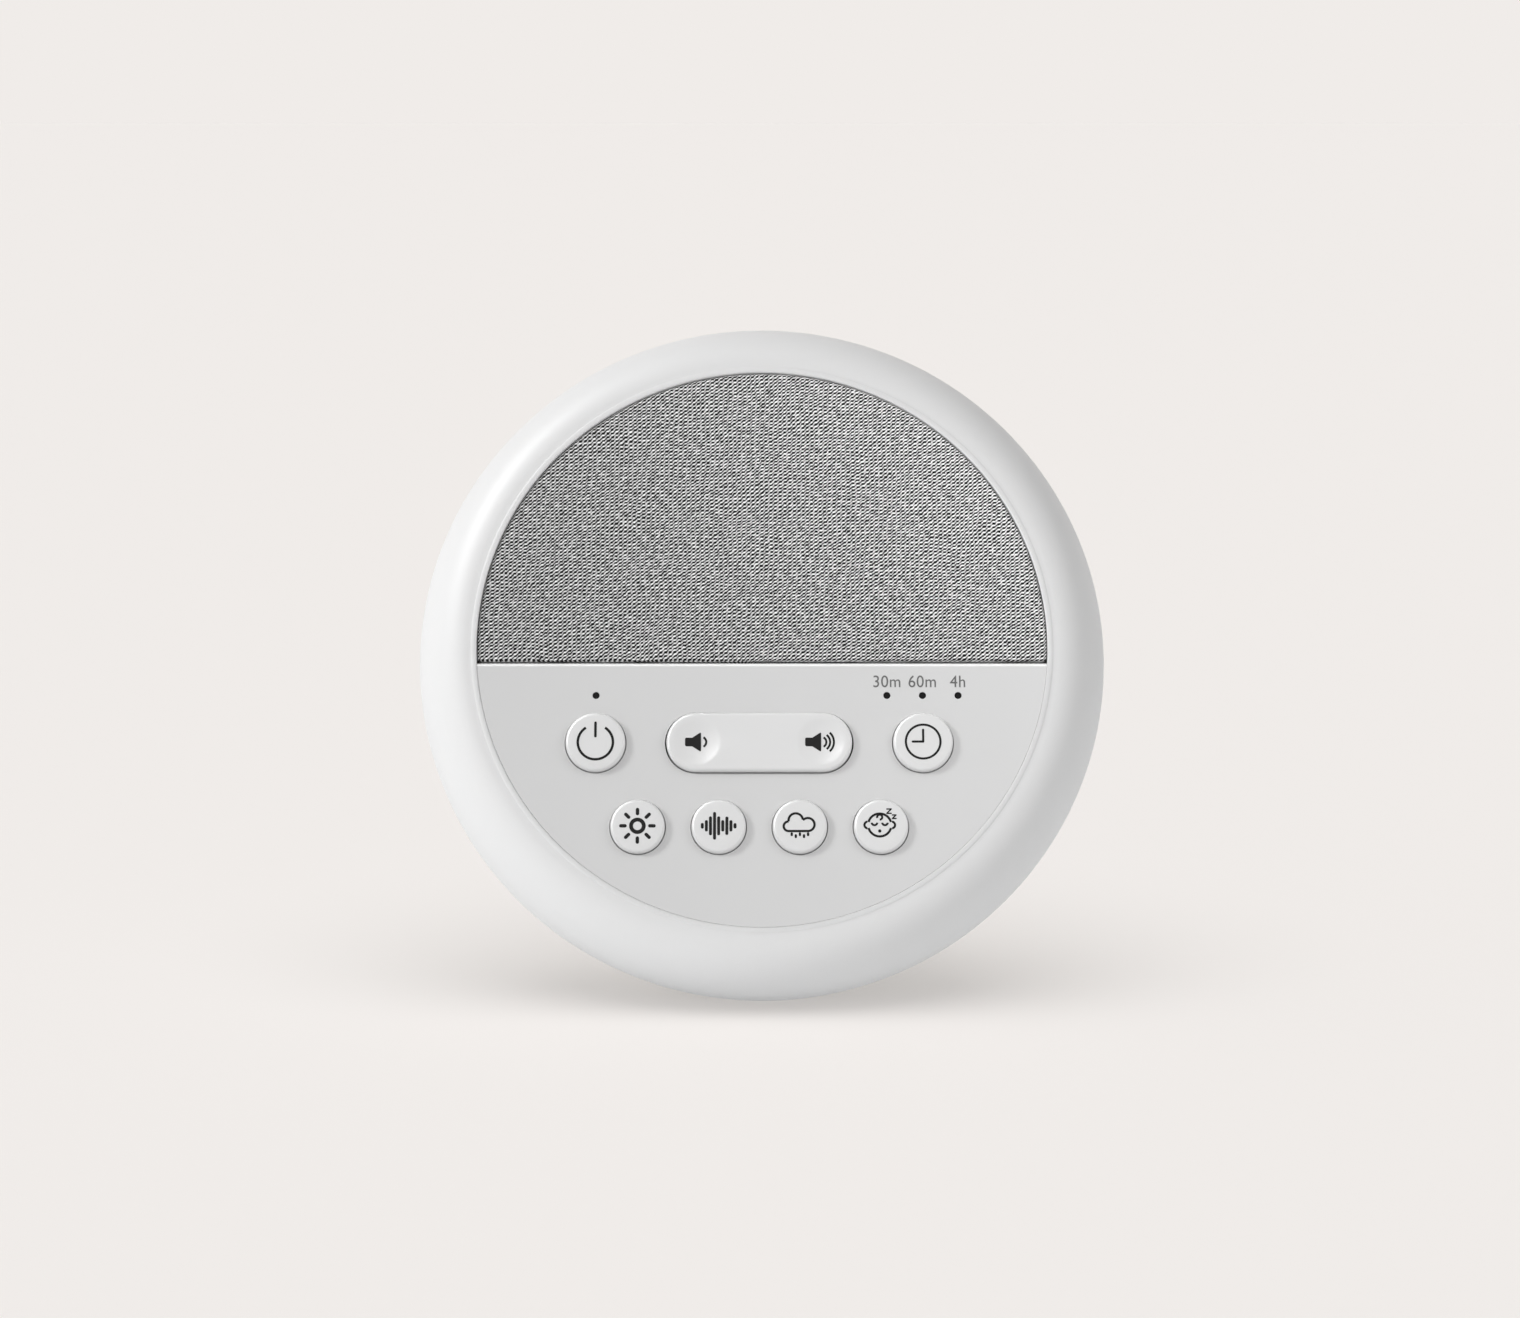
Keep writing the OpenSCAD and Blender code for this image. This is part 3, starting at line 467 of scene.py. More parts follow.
def round_rim(bm, faces, radius, steps=3):
    """Rounds every rim of a flat region: narrow insets, each left a little lower."""
    turns = [math.pi / 2 * i / steps for i in range(steps + 1)]
    drops = {}
    for i in range(steps):
        step_in(bm, faces, radius * (math.cos(turns[i]) - math.cos(turns[i + 1])))
        inner = {v for f in faces for v in f.verts}
        for v in bm.verts:
            if v not in inner and v not in drops:
                drops[v] = radius * (1 - math.sin(turns[i]))
    # A narrow flat margin keeps the large faces inside it flat when they are shaded smooth
    step_in(bm, faces, FLAT_MARGIN)
    for v, drop in drops.items():
        v.co.z -= drop


# %% [markdown]
# A flat piece then gets its thickness by dropping its open rims. Where it has to bend, straight
# cuts first give it enough points to bend by.

# %% Sides and cuts
def drop_sides(bm, depth):
    """Extrudes the open rims straight down to a depth, and closes nothing: the back is open."""
    rims = [e for e in bm.edges if e.is_boundary]
    made = bmesh.ops.extrude_edge_only(bm, edges=rims)
    for v in made["geom"]:
        if isinstance(v, bmesh.types.BMVert):
            v.co.z = -depth
    bmesh.ops.recalc_face_normals(bm, faces=bm.faces)


def cut_rows(bm, axis, places):
    """Straight cuts through everything, across one axis."""
    for place in places:
        bmesh.ops.bisect_plane(
            bm, geom=bm.verts[:] + bm.edges[:] + bm.faces[:],
            plane_co=axis * place, plane_no=axis, dist=1e-5,
        )


# %% [markdown]
# The outlines of the face are circles, oblongs and parts of a disc. Their straight sides get
# points along them too, so that the fill makes no long thin triangles there.

# %% Outlines
def circle_points(x, y, r, count):
    return oval(x, y, r, r, 0, 360 * (count - 1) / count, count - 1)


def oblong_points(x, y, length, width, arc=20, straight=30):
    """An oblong with round ends, with points along its straight sides too."""
    half = (length - width) / 2
    right = oval(x + half, y, width / 2, width / 2, -90, 90, arc)
    left = oval(x - half, y, width / 2, width / 2, 90, 270, arc)
    top = [(x + half - 2 * half * i / straight, y + width / 2) for i in range(1, straight)]
    bottom = [(x - half + 2 * half * i / straight, y - width / 2) for i in range(1, straight)]
    return right + top + left + bottom


def chord_points(half, y, steps=60):
    """Points between the ends of a straight line, from left to right."""
    return [(-half + 2 * half * i / steps, y) for i in range(1, steps)]


# %% [markdown]
# ## The milky ring
#
# The ring is one moulding: a small bead at the lip, a fine groove beside it, a shoulder that
# is a quarter of an oval, and a round side. Its half section is spun round the face's axis.
# A narrow slanted edge at the back marks the seam with the rear housing.

# %% Model the ring
FRAME_DEPTH = 3.7
BEAD_H = 0.12
GROOVE_T = 0.02
GROOVE_IN, GROOVE_OUT = 0.15, 0.3  # how far the groove's floor stays off the bead and shoulder
SEAM_W, SEAM_H, SEAM_GAP = 0.25, 0.1, 0.02
RING_STEPS = 256


def side_angle(depth, radius=SIDE_R):
    return math.degrees(math.asin((depth - RING_DEPTH) / radius))


def ring_section():
    bead = oval(LIP_R + BEAD_R, 0, BEAD_R, BEAD_H, 180, 0, 12)
    groove = [
        (LIP_R + 2 * BEAD_R + GROOVE_IN, -GROOVE_T), (SHOULDER_R - GROOVE_OUT, -GROOVE_T),
    ]
    shoulder = oval(SHOULDER_R, -RING_DEPTH, RING_R - SHOULDER_R, RING_DEPTH, 90, 0, 40)
    split = side_angle(SPLIT_DEPTH - SEAM_H)
    side = oval(mid_r, -RING_DEPTH, SIDE_R, SIDE_R, 0, -split, 16)[1:]
    seam = [(side[-1][0] - SEAM_W, -SPLIT_DEPTH + SEAM_GAP)]
    inner_r = SIDE_R - WALL
    inner_split = side_angle(SPLIT_DEPTH, inner_r)
    inside = oval(mid_r, -RING_DEPTH, inner_r, inner_r, -inner_split, 0, 10)
    drop = RING_DEPTH - WALL
    seat = math.degrees(math.asin((RING_DEPTH - FRAME_DEPTH) / drop))
    roof = oval(SHOULDER_R, -RING_DEPTH, RING_R - SHOULDER_R - WALL, drop, 0, seat, 14)[1:]
    return [(LIP_R, -FRAME_DEPTH)] + bead + groove + shoulder + side + seam + inside + roof


finish_piece(
    "light_ring", spun(ring_section(), closed=True, steps=RING_STEPS), "machine",
    RING_PC, ["night_light_ring"],
)

# %% [markdown]
# ## The control panel
#
# The panel fills the lower part of the face, below a straight line. Its outline, the holes
# for the buttons and the four small windows are filled in one go. The holes get a fine
# rounded rim, and the straight upper edge a wider one, which catches the light as a thin
# bright line. The rocker's hole is a little longer than the rocker needs at rest, because its
# ends swing outwards as it tips.

# %% Places of the controls
SPLIT_Y = -3.2
PANEL_GAP = 0.04
PANEL_T = 2.0
PANEL_EDGE = 0.9
EDGE_ROWS = 7
HOLE_ROUND = 0.05
HOLE_POINTS, LAMP_POINTS = 72, 24
CONTROL_X = -0.5
ROW_1, ROW_2, ROW_LAMPS = -18.3, -33.9, -9.4  # heights of the two rows and of the windows
BIG_R, SMALL_R = 5.45, 4.95
ROCKER_L = 33.8
CAP_GAP = 0.16
ROCKER_GAP, ROCKER_END_GAP = 0.19, 0.28
CAP_H = 1.3
BIG_X, SMALL_PITCH, LAMP_PITCH = 29.8, 14.7, 6.5
POWER = (CONTROL_X - BIG_X, ROW_1)
TIMER = (CONTROL_X + BIG_X, ROW_1)
ROCKER = (CONTROL_X, ROW_1)
SMALL = [(CONTROL_X + SMALL_PITCH * k, ROW_2) for k in (-1.5, -0.5, 0.5, 1.5)]
LAMP_R, LAMP_GAP = 0.625, 0.03
LAMPS = [(POWER[0], ROW_LAMPS)] + [(TIMER[0] + LAMP_PITCH * k, ROW_LAMPS) for k in (-1, 0, 1)]
print("buttons:", len(SMALL) + 2, "windows:", len(LAMPS))


# %% Model the panel
def lower_outline(radius, line):
    """The lower part of a disc, below a line."""
    turn = math.degrees(math.asin(-line / radius))
    arc = oval(0, 0, radius, radius, -turn, -180 + turn, 150)
    return arc + chord_points(radius * math.cos(math.radians(turn)), line)


def control_panel():
    bm = bmesh.new()
    loops = [lower_outline(LIP_R - PANEL_GAP, SPLIT_Y)]
    loops += [circle_points(x, y, BIG_R + CAP_GAP, HOLE_POINTS) for x, y in (POWER, TIMER)]
    loops += [circle_points(x, y, SMALL_R + CAP_GAP, HOLE_POINTS) for x, y in SMALL]
    loops += [oblong_points(*ROCKER, ROCKER_L + 2 * ROCKER_END_GAP, 2 * (BIG_R + ROCKER_GAP))]
    loops += [circle_points(x, y, LAMP_R + LAMP_GAP, LAMP_POINTS) for x, y in LAMPS]
    faces = flat_region(bm, loops)
    round_rim(bm, faces, HOLE_ROUND)
    # Rows across the upper edge, which then bend down; the first keeps the panel below it flat
    edge_low = SPLIT_Y - PANEL_EDGE
    turns = [math.pi / 2 * k / EDGE_ROWS for k in range(-1, EDGE_ROWS)]
    cut_rows(bm, Vector((0, 1, 0)), [edge_low + PANEL_EDGE * math.sin(turn) for turn in turns])
    for v in bm.verts:
        over = min(v.co.y - edge_low, PANEL_EDGE)
        if over > 0:
            v.co.z -= PANEL_EDGE - math.sqrt(max(PANEL_EDGE ** 2 - over ** 2, 0))
    drop_sides(bm, PANEL_T)
    return bm


finish_piece("panel", control_panel(), "machine", PANEL_ABS, ["control_panel"])

# %% [markdown]
# ## The buttons
#
# A round button is spun from a half section: a flat top, a soft edge, a straight side, and
# the hidden flange behind the panel that stops it from falling out.

# %% Model the round buttons
FLANGE_W, FLANGE_DEPTH, FLANGE_T = 0.9, 2.1, 0.8
CAP_ROUND = 0.6
CAP_STEPS = 96


def cap_section(radius):
    top = oval(radius - CAP_ROUND, CAP_H - CAP_ROUND, CAP_ROUND, CAP_ROUND, 90, 0, 10)
    outer, back = radius + FLANGE_W, -FLANGE_DEPTH - FLANGE_T
    return [(0, CAP_H), (radius / 2, CAP_H)] + top + [
        (radius, -FLANGE_DEPTH), (outer, -FLANGE_DEPTH), (outer, back), (0, back)
    ]


def round_button(place, radius):
    bm = spun(cap_section(radius), closed=False, steps=CAP_STEPS)
    bmesh.ops.translate(bm, vec=(place[0], place[1], 0), verts=bm.verts)
    return bm


ROUND = {
    "power": (POWER, BIG_R), "timer": (TIMER, BIG_R),
    "light": (SMALL[0], SMALL_R), "noise": (SMALL[1], SMALL_R),
    "rain": (SMALL[2], SMALL_R), "lullaby": (SMALL[3], SMALL_R),
}
for key, (place, radius) in ROUND.items():
    finish_piece(
        key + "_cap", round_button(place, radius), key + "_button",
        BUTTON_ABS, [key + "_button"],
    )

# %% [markdown]
# The volume rocker is an oblong with two shallow finger dimples. Its top starts as an oblong
# outline with a rounded rim. Straight cuts both ways then divide it into small squares, so
# that the dimples can be pressed into it smoothly.

# %% Model the rocker
DIMPLE_X, DIMPLE_R, DIMPLE_DEPTH = 11.3, 4.3, 0.48
DIMPLE_CUT = 0.34


def dimple_drop(x, y):
    """How deep a place lies in a dimple; x and y from the rocker's middle."""
    far = min(math.hypot(x - side * DIMPLE_X, y) for side in (-1, 1)) / DIMPLE_R
    return DIMPLE_DEPTH * (1 - far ** 2) if far < 1 else 0.0


def rocker_cap():
    bm = bmesh.new()
    edges = loop_edges(bm, oblong_points(0, 0, ROCKER_L, 2 * BIG_R, arc=28, straight=44))
    top = [bm.faces.new([e.verts[0] for e in edges])]
    bmesh.ops.recalc_face_normals(bm, faces=top)
    if top[0].normal.z < 0:
        bmesh.ops.reverse_faces(bm, faces=top)
    round_rim(bm, top, CAP_ROUND, steps=8)
    count = round(DIMPLE_R / DIMPLE_CUT)
    cuts = [DIMPLE_CUT * k for k in range(-count, count + 1)]
    cut_rows(bm, Vector((0, 1, 0)), cuts)
    cut_rows(bm, Vector((1, 0, 0)), [side * DIMPLE_X + cut for side in (-1, 1) for cut in cuts])
    for v in bm.verts:
        v.co.z -= dimple_drop(v.co.x, v.co.y)
    drop_sides(bm, FLANGE_DEPTH + CAP_H)
    bmesh.ops.translate(bm, vec=(ROCKER[0], ROCKER[1], CAP_H), verts=bm.verts)
    return bm


finish_piece(
    "rocker_cap", rocker_cap(), "volume_rocker", BUTTON_ABS, ["volume_rocker"]
)

# %% [markdown]
# ## The printed signs
#
# The signs are made of strokes: arcs swept by `spin`, and bars with round ends, which are a
# flat grid with its four corners bevelled. The finished drawing is extruded by a few
# hundredths of a millimetre, as a layer of ink stands on the plastic.

# %% Strokes of ink
INK_T = 0.03
INK_GAP = 0.003  # keeps the ink's underside just off the plastic
ARC_STEP = 7.5  # degrees


def arc_stroke(bm, x, y, radius, stroke, start=0.0, end=360.0):
    """A curved stroke round a centre, from one angle to another in degrees."""
    turn = Matrix.Rotation(math.radians(start), 3, "Z")
    ends = [turn @ Vector((radius + s * stroke / 2, 0, 0)) + Vector((x, y, 0)) for s in (-1, 1)]
    verts = [bm.verts.new(p) for p in ends]
    edge = bm.edges.new(verts)
    whole = abs(end - start) >= 360
    bmesh.ops.spin(
        bm, geom=verts + [edge], cent=(x, y, 0), axis=(0, 0, 1), angle=math.radians(end - start),
        steps=max(6, int(abs(end - start) / ARC_STEP)), use_merge=whole,
    )


def round_corners(bm, corners, radius, segments):
    bmesh.ops.bevel(
        bm, geom=corners, offset=radius, segments=segments, profile=0.5,
        affect="VERTICES", material=-1,
    )


def bar(bm, x0, y0, x1, y1, stroke):
    """A straight stroke with round ends."""
    length = math.hypot(x1 - x0, y1 - y0)
    place = (
        Matrix.Translation(((x0 + x1) / 2, (y0 + y1) / 2, 0))
        @ Matrix.Rotation(math.atan2(y1 - y0, x1 - x0), 4, "Z")
        @ Matrix.Diagonal(((length + stroke) / 2, stroke / 2, 1, 1))
    )
    made = bmesh.ops.create_grid(
        bm, x_segments=max(1, round(length)), y_segments=1, size=1, matrix=place
    )
    corners = [v for v in made["verts"] if len(v.link_edges) == 2]
    # A little under half the stroke, so that two corners never meet
    round_corners(bm, corners, stroke * 0.49, 4)


def dot(bm, x, y, radius):
    place = Matrix.Translation((x, y, 0))
    bmesh.ops.create_circle(bm, cap_ends=True, segments=24, radius=radius, matrix=place)


def print_sign(name, bm, place, height, body, ink, follow=None):
    """Turns a flat drawing into a layer of ink on a surface at that height."""
    for f in bm.faces:
        if f.normal.z < 0:
            f.normal_flip()
    faces = bm.faces[:]
    made = bmesh.ops.extrude_face_region(bm, geom=faces)
    raised = [g for g in made["geom"] if isinstance(g, bmesh.types.BMVert)]
    bmesh.ops.translate(bm, vec=(0, 0, INK_T), verts=raised)
    bmesh.ops.delete(bm, geom=faces, context="FACES_ONLY")
    bmesh.ops.translate(bm, vec=(place[0], place[1], height + INK_GAP), verts=bm.verts)
    if follow:
        for v in bm.verts:
            v.co.z -= follow(v.co.x, v.co.y)
    finish_piece(name, bm, body, ink, sharp=30)


# %% [markdown]
# The signs themselves are the common ones of such a machine. Each is drawn round the middle of
# its own button. The first three are a power mark, a clock for the timer and a sun for the
# light: rings and straight strokes.

# %% Draw the power, timer and light signs
def power_sign(bm):
    stroke = 0.46
    arc_stroke(bm, 0, -0.1, 3.2, stroke, 123, 417)
    bar(bm, 0, 1.0, 0, 3.5, stroke)


def clock_sign(bm):
    stroke = 0.4
    arc_stroke(bm, 0, 0, 3.15, stroke)
    bar(bm, 0, 0, 0, 2.2, stroke)
    bar(bm, -1.9, 0, 0, 0, stroke)


def sun_sign(bm):
    ray_start, ray_end, ray_stroke = 2.25, 3.0, 0.62
    arc_stroke(bm, 0, 0, 1.15, 0.7)
    for k in range(8):
        c, s = math.cos(math.pi * k / 4), math.sin(math.pi * k / 4)
        bar(bm, ray_start * c, ray_start * s, ray_end * c, ray_end * s, ray_stroke)


# %% [markdown]
# Bars of sound stand for the white noise, and a cloud of three arcs on a straight base for the
# rain, with five short strokes of rain under it.

# %% Draw the noise and rain signs
def sound_sign(bm):
    stroke, pitch = 0.54, 0.74
    heights = [1.06, 2.1, 3.5, 5.1, 3.5, 2.1, 3.4, 2.1, 1.0]
    for k, height in enumerate(heights):
        x, half = pitch * (k - 4), (height - stroke) / 2
        bar(bm, x, -half, x, half, stroke)


def rain_sign(bm):
    stroke, pitch = 0.42, 0.74
    left, right, base = -2.05, 1.45, -0.96
    arc_stroke(bm, left, -0.08, 0.88, stroke, 89, 270)
    arc_stroke(bm, -0.75, 1.0, 1.3, stroke, 7, 188)
    arc_stroke(bm, right, 0.24, 1.2, stroke, -90, 138)
    bar(bm, left, base, right, base, stroke)
    for k in range(5):
        x, y = pitch * (k - 2), -1.4 - 0.35 * (k % 2)
        bar(bm, x, y, x, y - 0.3, stroke)


# %% [markdown]
# A plain sleeping face stands for the lullabies. It has more and finer strokes than the other
# signs, so its letters get the thinnest ones.

# %% Draw the lullaby sign
def child_sign(bm):
    """A round head in two arcs, then ears, closed eyes, a mouth, a curl and two letters z."""
    x, y = -0.25, 0.15
    thick, thin, thinnest = 0.42, 0.38, 0.24
    for start in (15, 195):
        arc_stroke(bm, x, y, 2.1, thick, start, start + 150)
    for side, turn in ((-1, 180), (1, 0)):
        arc_stroke(bm, x + 2.15 * side, y, 0.62, 0.4, turn - 82, turn + 82)
        arc_stroke(bm, x + 0.95 * side, 0.62, 0.5, thin, 185, 355)
    dot(bm, x, -0.95, 0.3)
    arc_stroke(bm, x, 1.6, 0.46, thin, -90, 200)
    for left, low, size in ((1.05, 2.3, 0.8), (2.05, 1.35, 0.65)):
        bar(bm, left, low + size, left + size, low + size, thinnest)
        bar(bm, left + size, low + size, left, low, thinnest)
        bar(bm, left, low, left + size, low, thinnest)


# %% [markdown]
# The rocker has a quiet speaker at one end and a loud one at the other: the same horn, with one
# wave or three.

# %% Draw the volume signs
def speaker_sign(bm, waves):
    """A horn with rounded tips, and one to three waves in front of it."""
    horn = [(-1.5, -0.8), (-0.2, -0.8), (1.4, -1.85), (1.4, 1.85), (-0.2, 0.8), (-1.5, 0.8)]
    corners = [bm.verts.new((x, y, 0)) for x, y in horn]
    bm.faces.new((corners[0], corners[1], corners[4], corners[5]))
    bm.faces.new((corners[1], corners[2], corners[3], corners[4]))
    round_corners(bm, [corners[k] for k in (0, 2, 3, 5)], 0.28, 3)
    for k, half_turn in list(enumerate((60, 51, 47)))[:waves]:
        arc_stroke(bm, 1.35, 0, 1.0 + 0.69 * k, 0.38, -half_turn, half_turn)


# %% [markdown]
# Each sign rides on the body of its own button, so it sinks with it. The two on the rocker
# also bend down into the finger dimples, because pad printing follows the surface.

# %% Print the signs on the buttons
DRAWINGS = {
    "power": power_sign, "timer": clock_sign, "light": sun_sign,
    "noise": sound_sign, "rain": rain_sign, "lullaby": child_sign,
}
for key, draw in DRAWINGS.items():
    sign = bmesh.new()
    draw(sign)
    print_sign(key + "_sign", sign, ROUND[key][0], CAP_H, key + "_button", DARK_INK)


def into_dimple(x, y):
    return dimple_drop(x - ROCKER[0], y - ROCKER[1])


for key, x, waves in (("quiet", -12.0, 1), ("loud", 9.85, 3)):
    sign = bmesh.new()
    speaker_sign(sign, waves)
    place = (ROCKER[0] + x, ROCKER[1])
    print_sign(key + "_sign", sign, place, CAP_H, "volume_rocker", DARK_INK, into_dimple)

# %% [markdown]
# Three plain labels stand over the timer's windows. They are ordinary text: the outline is
# made a mesh, then treated as any other sign.

# %% Print the labels
LABEL_Y = ROW_LAMPS + 2.5
LABEL_H = 2.3
CAP_SHARE = 0.73  # a capital's share of the font's size
NARROW = 0.92
SPACING = 1.05


def label(text, place):
    curve = bpy.data.curves.new("label", "FONT")
    curve.body = text
    curve.size = LABEL_H / CAP_SHARE
    curve.align_x = "CENTER"
    curve.align_y = "CENTER"
    curve.space_character = SPACING
    holder = bpy.data.objects.new("label", curve)
    mesh = bpy.data.meshes.new_from_object(holder)
    bm = bmesh.new()
    bm.from_mesh(mesh)
    bmesh.ops.scale(bm, vec=(NARROW, 1, 1), verts=bm.verts)
    bpy.data.objects.remove(holder)
    print_sign("label_" + text, bm, place, 0.0, "machine", PALE_INK)


for text, lamp in zip(("30m", "60m", "4h"), LAMPS[1:]):
    label(text, (lamp[0], LABEL_Y))

# %% [markdown]
# ## The speaker cloth
#
# The cloth is stretched over the grille and folded down round its rim. It is one thin sheet:
# a flat upper part, a soft fold along the edge, and a short skirt. Its UV map holds plain
# millimetres, measured before the fold, so the knit runs evenly over the edge.

# %% Model the cloth
CLOTH_RECESS = 0.4
CLOTH_GAP = 0.12
CLOTH_CHORD_GAP = 0.3
CLOTH_FOLD = 0.5
CLOTH_SKIRT = 1.2
CLOTH_CORNER = 1.0


def upper_outline(radius, line, corner):
    """The upper part of a disc above a line, with its two corners rounded."""
    inner = radius - corner
    centre_y = line + corner
    centre_x = math.sqrt(inner ** 2 - centre_y ** 2)
    turn = math.degrees(math.atan2(centre_y, centre_x))
    arc = oval(0, 0, radius, radius, turn, 180 - turn, 180)
    left = oval(-centre_x, centre_y, corner, corner, 180 - turn, 270, 8)[1:]
    right = oval(centre_x, centre_y, corner, corner, -90, turn, 8)[:-1]
    return arc + left + chord_points(centre_x, line) + right


def speaker_cloth():
    bm = bmesh.new()
    outline = upper_outline(LIP_R - CLOTH_GAP, SPLIT_Y + CLOTH_CHORD_GAP, CLOTH_CORNER)
    faces = flat_region(bm, [outline])
    round_rim(bm, faces, CLOTH_FOLD, steps=5)
    layer = bm.loops.layers.uv.new("cloth_mm")
    drop_sides(bm, CLOTH_FOLD + CLOTH_SKIRT)
    for f in bm.faces:
        for loop in f.loops:
            co = loop.vert.co
            outwards = co.xy.normalized()
            loop[layer].uv = co.xy - outwards * min(co.z, 0)
    bmesh.ops.translate(bm, vec=(0, 0, -CLOTH_RECESS), verts=bm.verts)
    return bm


drawn_cloth = speaker_cloth()
cloth_area = sum(f.calc_area() for f in drawn_cloth.faces) * MM * MM
cloth = finish_piece(
    "knit_cloth", drawn_cloth, "machine", KNIT, ["speaker_cloth"], sharp=60
)
print("cloth's area %.1f square cm" % (cloth_area * 1e4))

# %% [markdown]
# ## The pieces that keep their CAD shape
#
# Their solids are already right, so each only takes its finish.

# %% Finishes for the CAD pieces
KEPT = {
    "rear_housing": HOUSING_ABS, "front_frame": FRAME_ABS, "grille_frame": DARK_ABS,
    "indicator_lenses": SMOKED, "rubber_feet": RUBBER, "housing_screws": ZINC,
    "dc_jack": NYLON, "speaker_gasket": FOAM, "speaker_basket": NYLON,
    "speaker_magnet": ZINC, "speaker_cone": PAPER, "voice_coil": COPPER,
    "cone_surround": RUBBER, "cone_spider": DIPPED_CLOTH, "speaker_screws": ZINC,
    "rocker_pin": ZINC, "rocker_plungers": NYLON, "tact_switches": ZINC,
    "button_board": BOARD, "button_board_screws": ZINC, "indicator_leds": EPOXY,
    "night_light_board": WHITE_BOARD, "night_light_leds": EPOXY, "main_board": BOARD,
    "main_board_parts": NYLON, "main_board_screws": ZINC,
}
KEPT.update({key + "_plunger": NYLON for key in ROUND})
for name, material in KEPT.items():
    mesh = nodes[name].data
    mesh.materials.clear()
    mesh.materials.append(material)
print("finished CAD pieces:", len(KEPT))

# %% [markdown]
# ## Floor, backdrop and light
#
# The photograph is a plain studio shot: an even, pale warm ground with no horizon, light
# from above and from the left, and a soft shadow under the machine. A plain sheet of paper
# makes the floor. Its colour to the camera is the photograph's ground, and to the light that
# bounces off it a plain grey, so that the warm ground doesn't tint the white plastic.

# %% Floor
GROUND = "#F0ECE9"
NEUTRAL = "#E2E2E2"
SHADE_SHARE = 0.62  # how much of the floor's brightness a shadow can take away
FLOOR_SIZE, FLOOR_BACK = 30, 10


def floor_material():
    """Part of the floor's colour is its own, so that the shadows on it stay pale."""
    material = bpy.data.materials.new("pale_paper")
    material.use_nodes = True
    tree = material.node_tree
    tree.nodes.clear()
    to_camera = add(tree, "LightPath").outputs["Is Camera Ray"]
    tint = add(tree, "Mix", {
        "Factor": to_camera, "A": linear(NEUTRAL), "B": linear(GROUND),
    }, data_type="RGBA")
    matt = add(tree, "BsdfDiffuse", {"Color": tint.outputs["Result"]})
    glow = add(tree, "Emission", {"Color": tint.outputs["Result"]})
    blend = add(tree, "MixShader", {0: SHADE_SHARE, 1: glow, 2: matt})
    add(tree, "OutputMaterial", {"Surface": blend})
    return material


bpy.ops.mesh.primitive_plane_add(size=FLOOR_SIZE, location=(0, FLOOR_BACK, 0))
floor = bpy.context.object
floor.name = "floor"
floor.data.materials.append(floor_material())
print("floor of %d m, its middle %d m behind the machine" % (FLOOR_SIZE, FLOOR_BACK))

# %% [markdown]
# Most lamps are suns with a wide angle, which light everything evenly and give soft edges. The
# sun over the floor lights only the floor, at just the strength that brings the floor up to its
# own colour, and throws the soft shadow back under the machine. The key light comes from the
# upper left, and leaves the floor alone. Three softboxes show only as reflections, because they
# are left out of the diffuse light: one on everything, and two strips that draw the bright line
# along the buttons' upper left edges and along the panel's straight edge. Two small panels
# stand near the right: one brightens the face towards that side, and the other the corner of
# the cloth above it.

# %% Helpers for lamps
def lamp_object(name, data, where, toward):
    lamp = bpy.data.objects.new(name, data)
    lamp.location = where
    lamp.rotation_euler = Vector(toward).to_track_quat("-Z", "Y").to_euler()
    scene.collection.objects.link(lamp)
    return lamp


def sun(name, strength, angle, toward, diffuse=True, glossy=True):
    """A sun, whose angle in degrees sets how soft it is; it can leave out either kind of light."""
    data = bpy.data.lights.new(name, "SUN")
    data.energy = strength
    data.angle = math.radians(angle)
    lamp = lamp_object(name, data, (0, 0, 0), toward)
    lamp.visible_diffuse = diffuse
    lamp.visible_glossy = glossy
    return lamp


def small_panel(name, power, size, where, aim):
    """A square lamp at one place, facing another."""
    data = bpy.data.lights.new(name, "AREA")
    data.energy = power
    data.size = size
    return lamp_object(name, data, where, aim - where)


def light_only(lamp, pieces, state="INCLUDE"):
    """Lets a lamp light these pieces alone, or everything but these."""
    group = bpy.data.collections.new(lamp.name + "_receivers")
    for piece in pieces:
        group.objects.link(piece)
    lamp.light_linking.receiver_collection = group
    for member in group.collection_objects:
        member.light_linking.link_state = state


# %% Lamps
AMBIENT = 0.52  # the sky's share of the light on the floor
DOWN = Vector((0.0, 0.2, -1.0)).normalized()
FROM_UPPER_LEFT = (0.78, 0.4, -0.48)
ALONG_LEFT_EDGES = (0.618, 0.257, -0.744)
ALONG_TOP_EDGE = (0.0, -0.151, -0.988)
BESIDE_FACE = Vector((0.22, -0.15, 0.13))  # metres from the middle of the face
BESIDE_CLOTH, CLOTH_SPOT = Vector((75, 75, 70)), Vector((28, 32, 0))  # on the face

face_pieces = [
    o for o in scene.objects if o.name.endswith(("_cap", "_sign", "panel", "knit_cloth"))
]
caps = [piece for piece in face_pieces if piece.name.endswith("_cap")]
panel = [piece for piece in face_pieces if piece.name == "panel"]

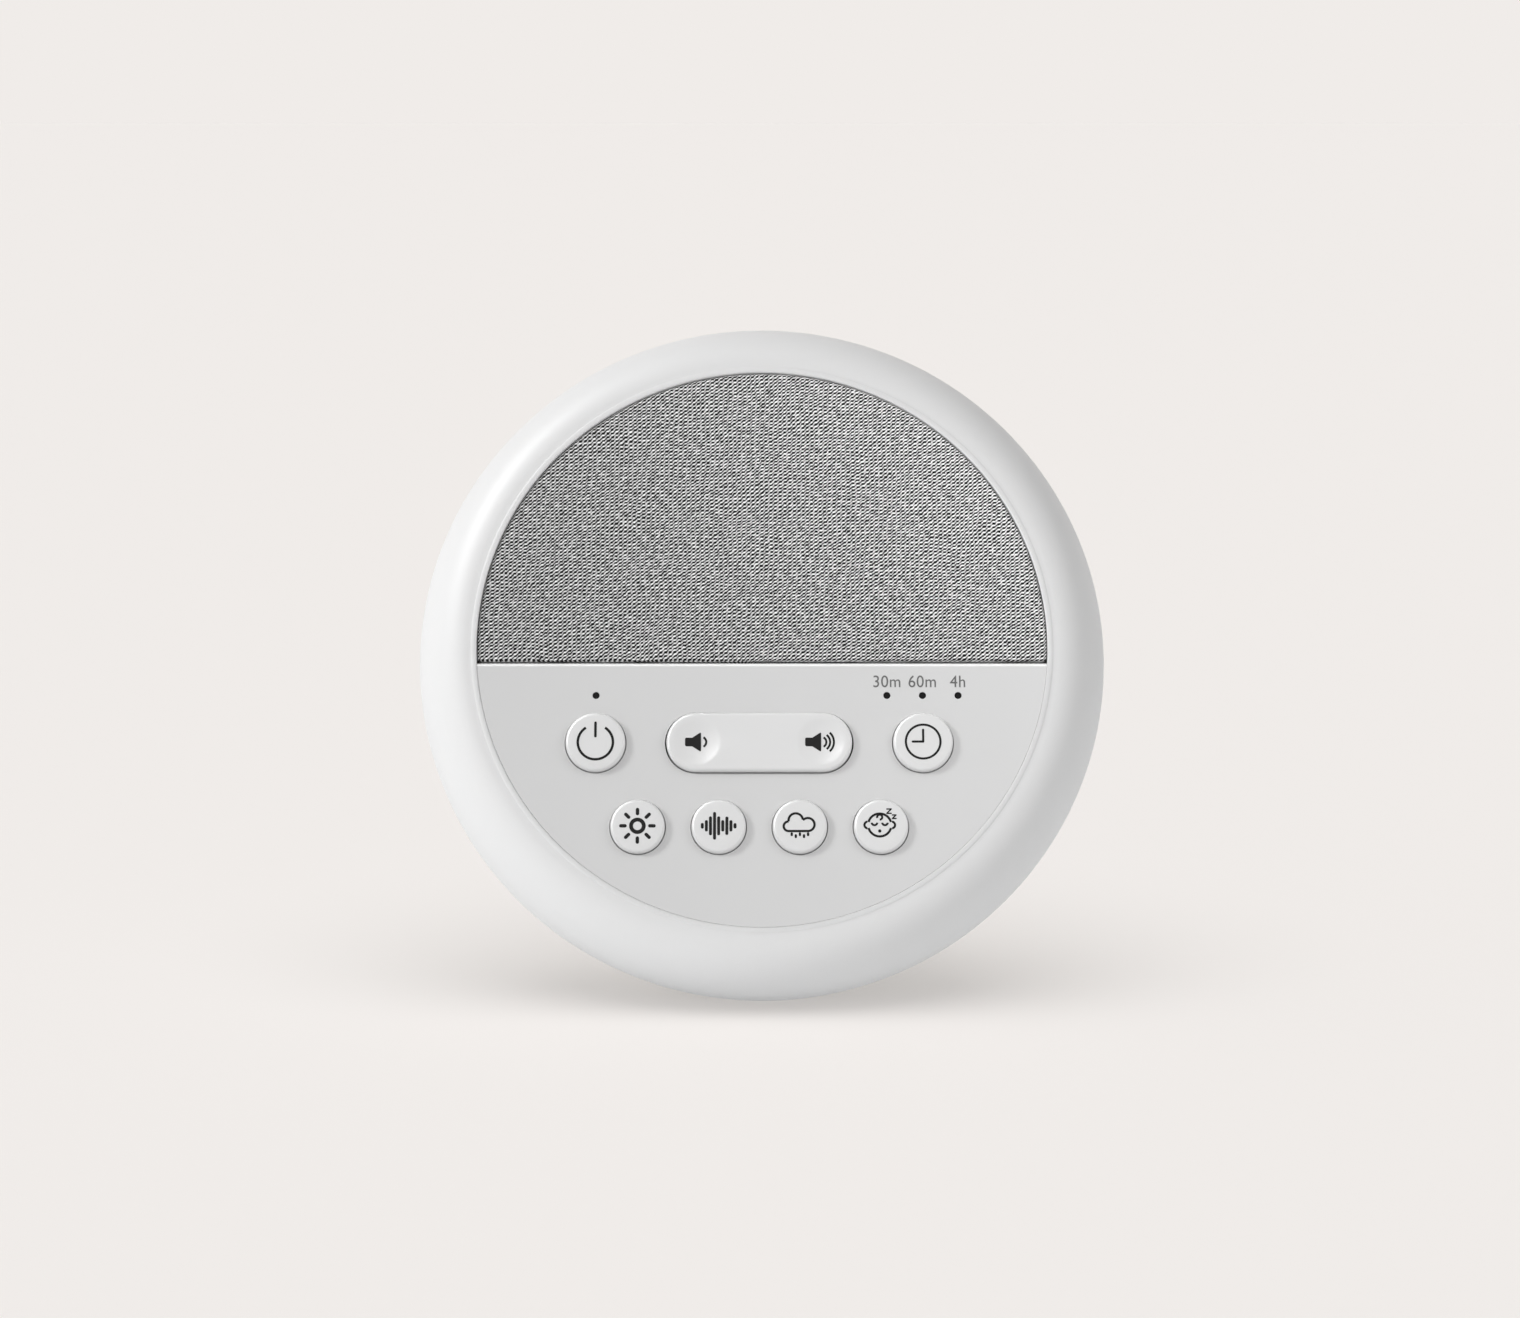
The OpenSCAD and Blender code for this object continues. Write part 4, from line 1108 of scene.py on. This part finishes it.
floor_sun = math.pi * (1 - AMBIENT) / -DOWN.z
light_only(sun("over_the_floor", floor_sun, 70, DOWN), [floor])
key_light = sun("from_the_upper_left", 1.3, 16, FROM_UPPER_LEFT, glossy=False)
light_only(key_light, [floor], "EXCLUDE")
sun("softbox_reflection", 2.0, 24, ALONG_LEFT_EDGES, diffuse=False)
side = small_panel("beside_the_face", 0.26, 0.15, FACE + BESIDE_FACE, FACE)
light_only(side, face_pieces)
light_only(sun("strip_on_the_edges", 6.5, 66, ALONG_LEFT_EDGES, diffuse=False), caps)
light_only(sun("strip_on_the_panel_edge", 6.0, 56, ALONG_TOP_EDGE, diffuse=False), panel)
corner = small_panel(
    "beside_the_cloth", 0.045, 0.05, ON_FACE @ BESIDE_CLOTH, ON_FACE @ CLOTH_SPOT
)
light_only(corner, [cloth])
print("lamps:", len(bpy.data.lights), "pieces on the face:", len(face_pieces))

# %% [markdown]
# The rest of the light comes from the sky, which is a little brighter on the left. The camera
# and mirror-like surfaces see the plain ground colour instead, so there is no horizon.

# %% Sky
LEFT_SHARE, RIGHT_SHARE = 1.25, 0.75

world = bpy.data.worlds.new("studio")
scene.world = world
world.use_nodes = True
sky = world.node_tree
sky.nodes.clear()
path = add(sky, "LightPath").outputs
seen = add(sky, "Math", {
    0: path["Is Camera Ray"], 1: path["Is Glossy Ray"],
}, operation="MAXIMUM")
seen = add(sky, "Math", {0: seen, 1: path["Is Transmission Ray"]}, operation="MAXIMUM")
aim = add(sky, "SeparateXYZ", {0: add(sky, "TexCoord").outputs["Generated"]})
level = add(sky, "MapRange", {
    "Value": aim.outputs["X"], "From Min": -1.0, "From Max": 1.0,
    "To Min": AMBIENT * LEFT_SHARE, "To Max": AMBIENT * RIGHT_SHARE,
})
ambient = add(sky, "Background", {"Color": linear("#FFFFFF"), "Strength": level})
backdrop = add(sky, "Background", {"Color": linear(GROUND), "Strength": 1.0})
mixed = add(sky, "MixShader", {0: seen, 1: ambient, 2: backdrop})
add(sky, "OutputWorld", {"Surface": mixed})
scene.view_settings.view_transform = "Standard"
print("sky: %.2f on the left, %.2f on the right" % (AMBIENT * LEFT_SHARE, AMBIENT * RIGHT_SHARE))
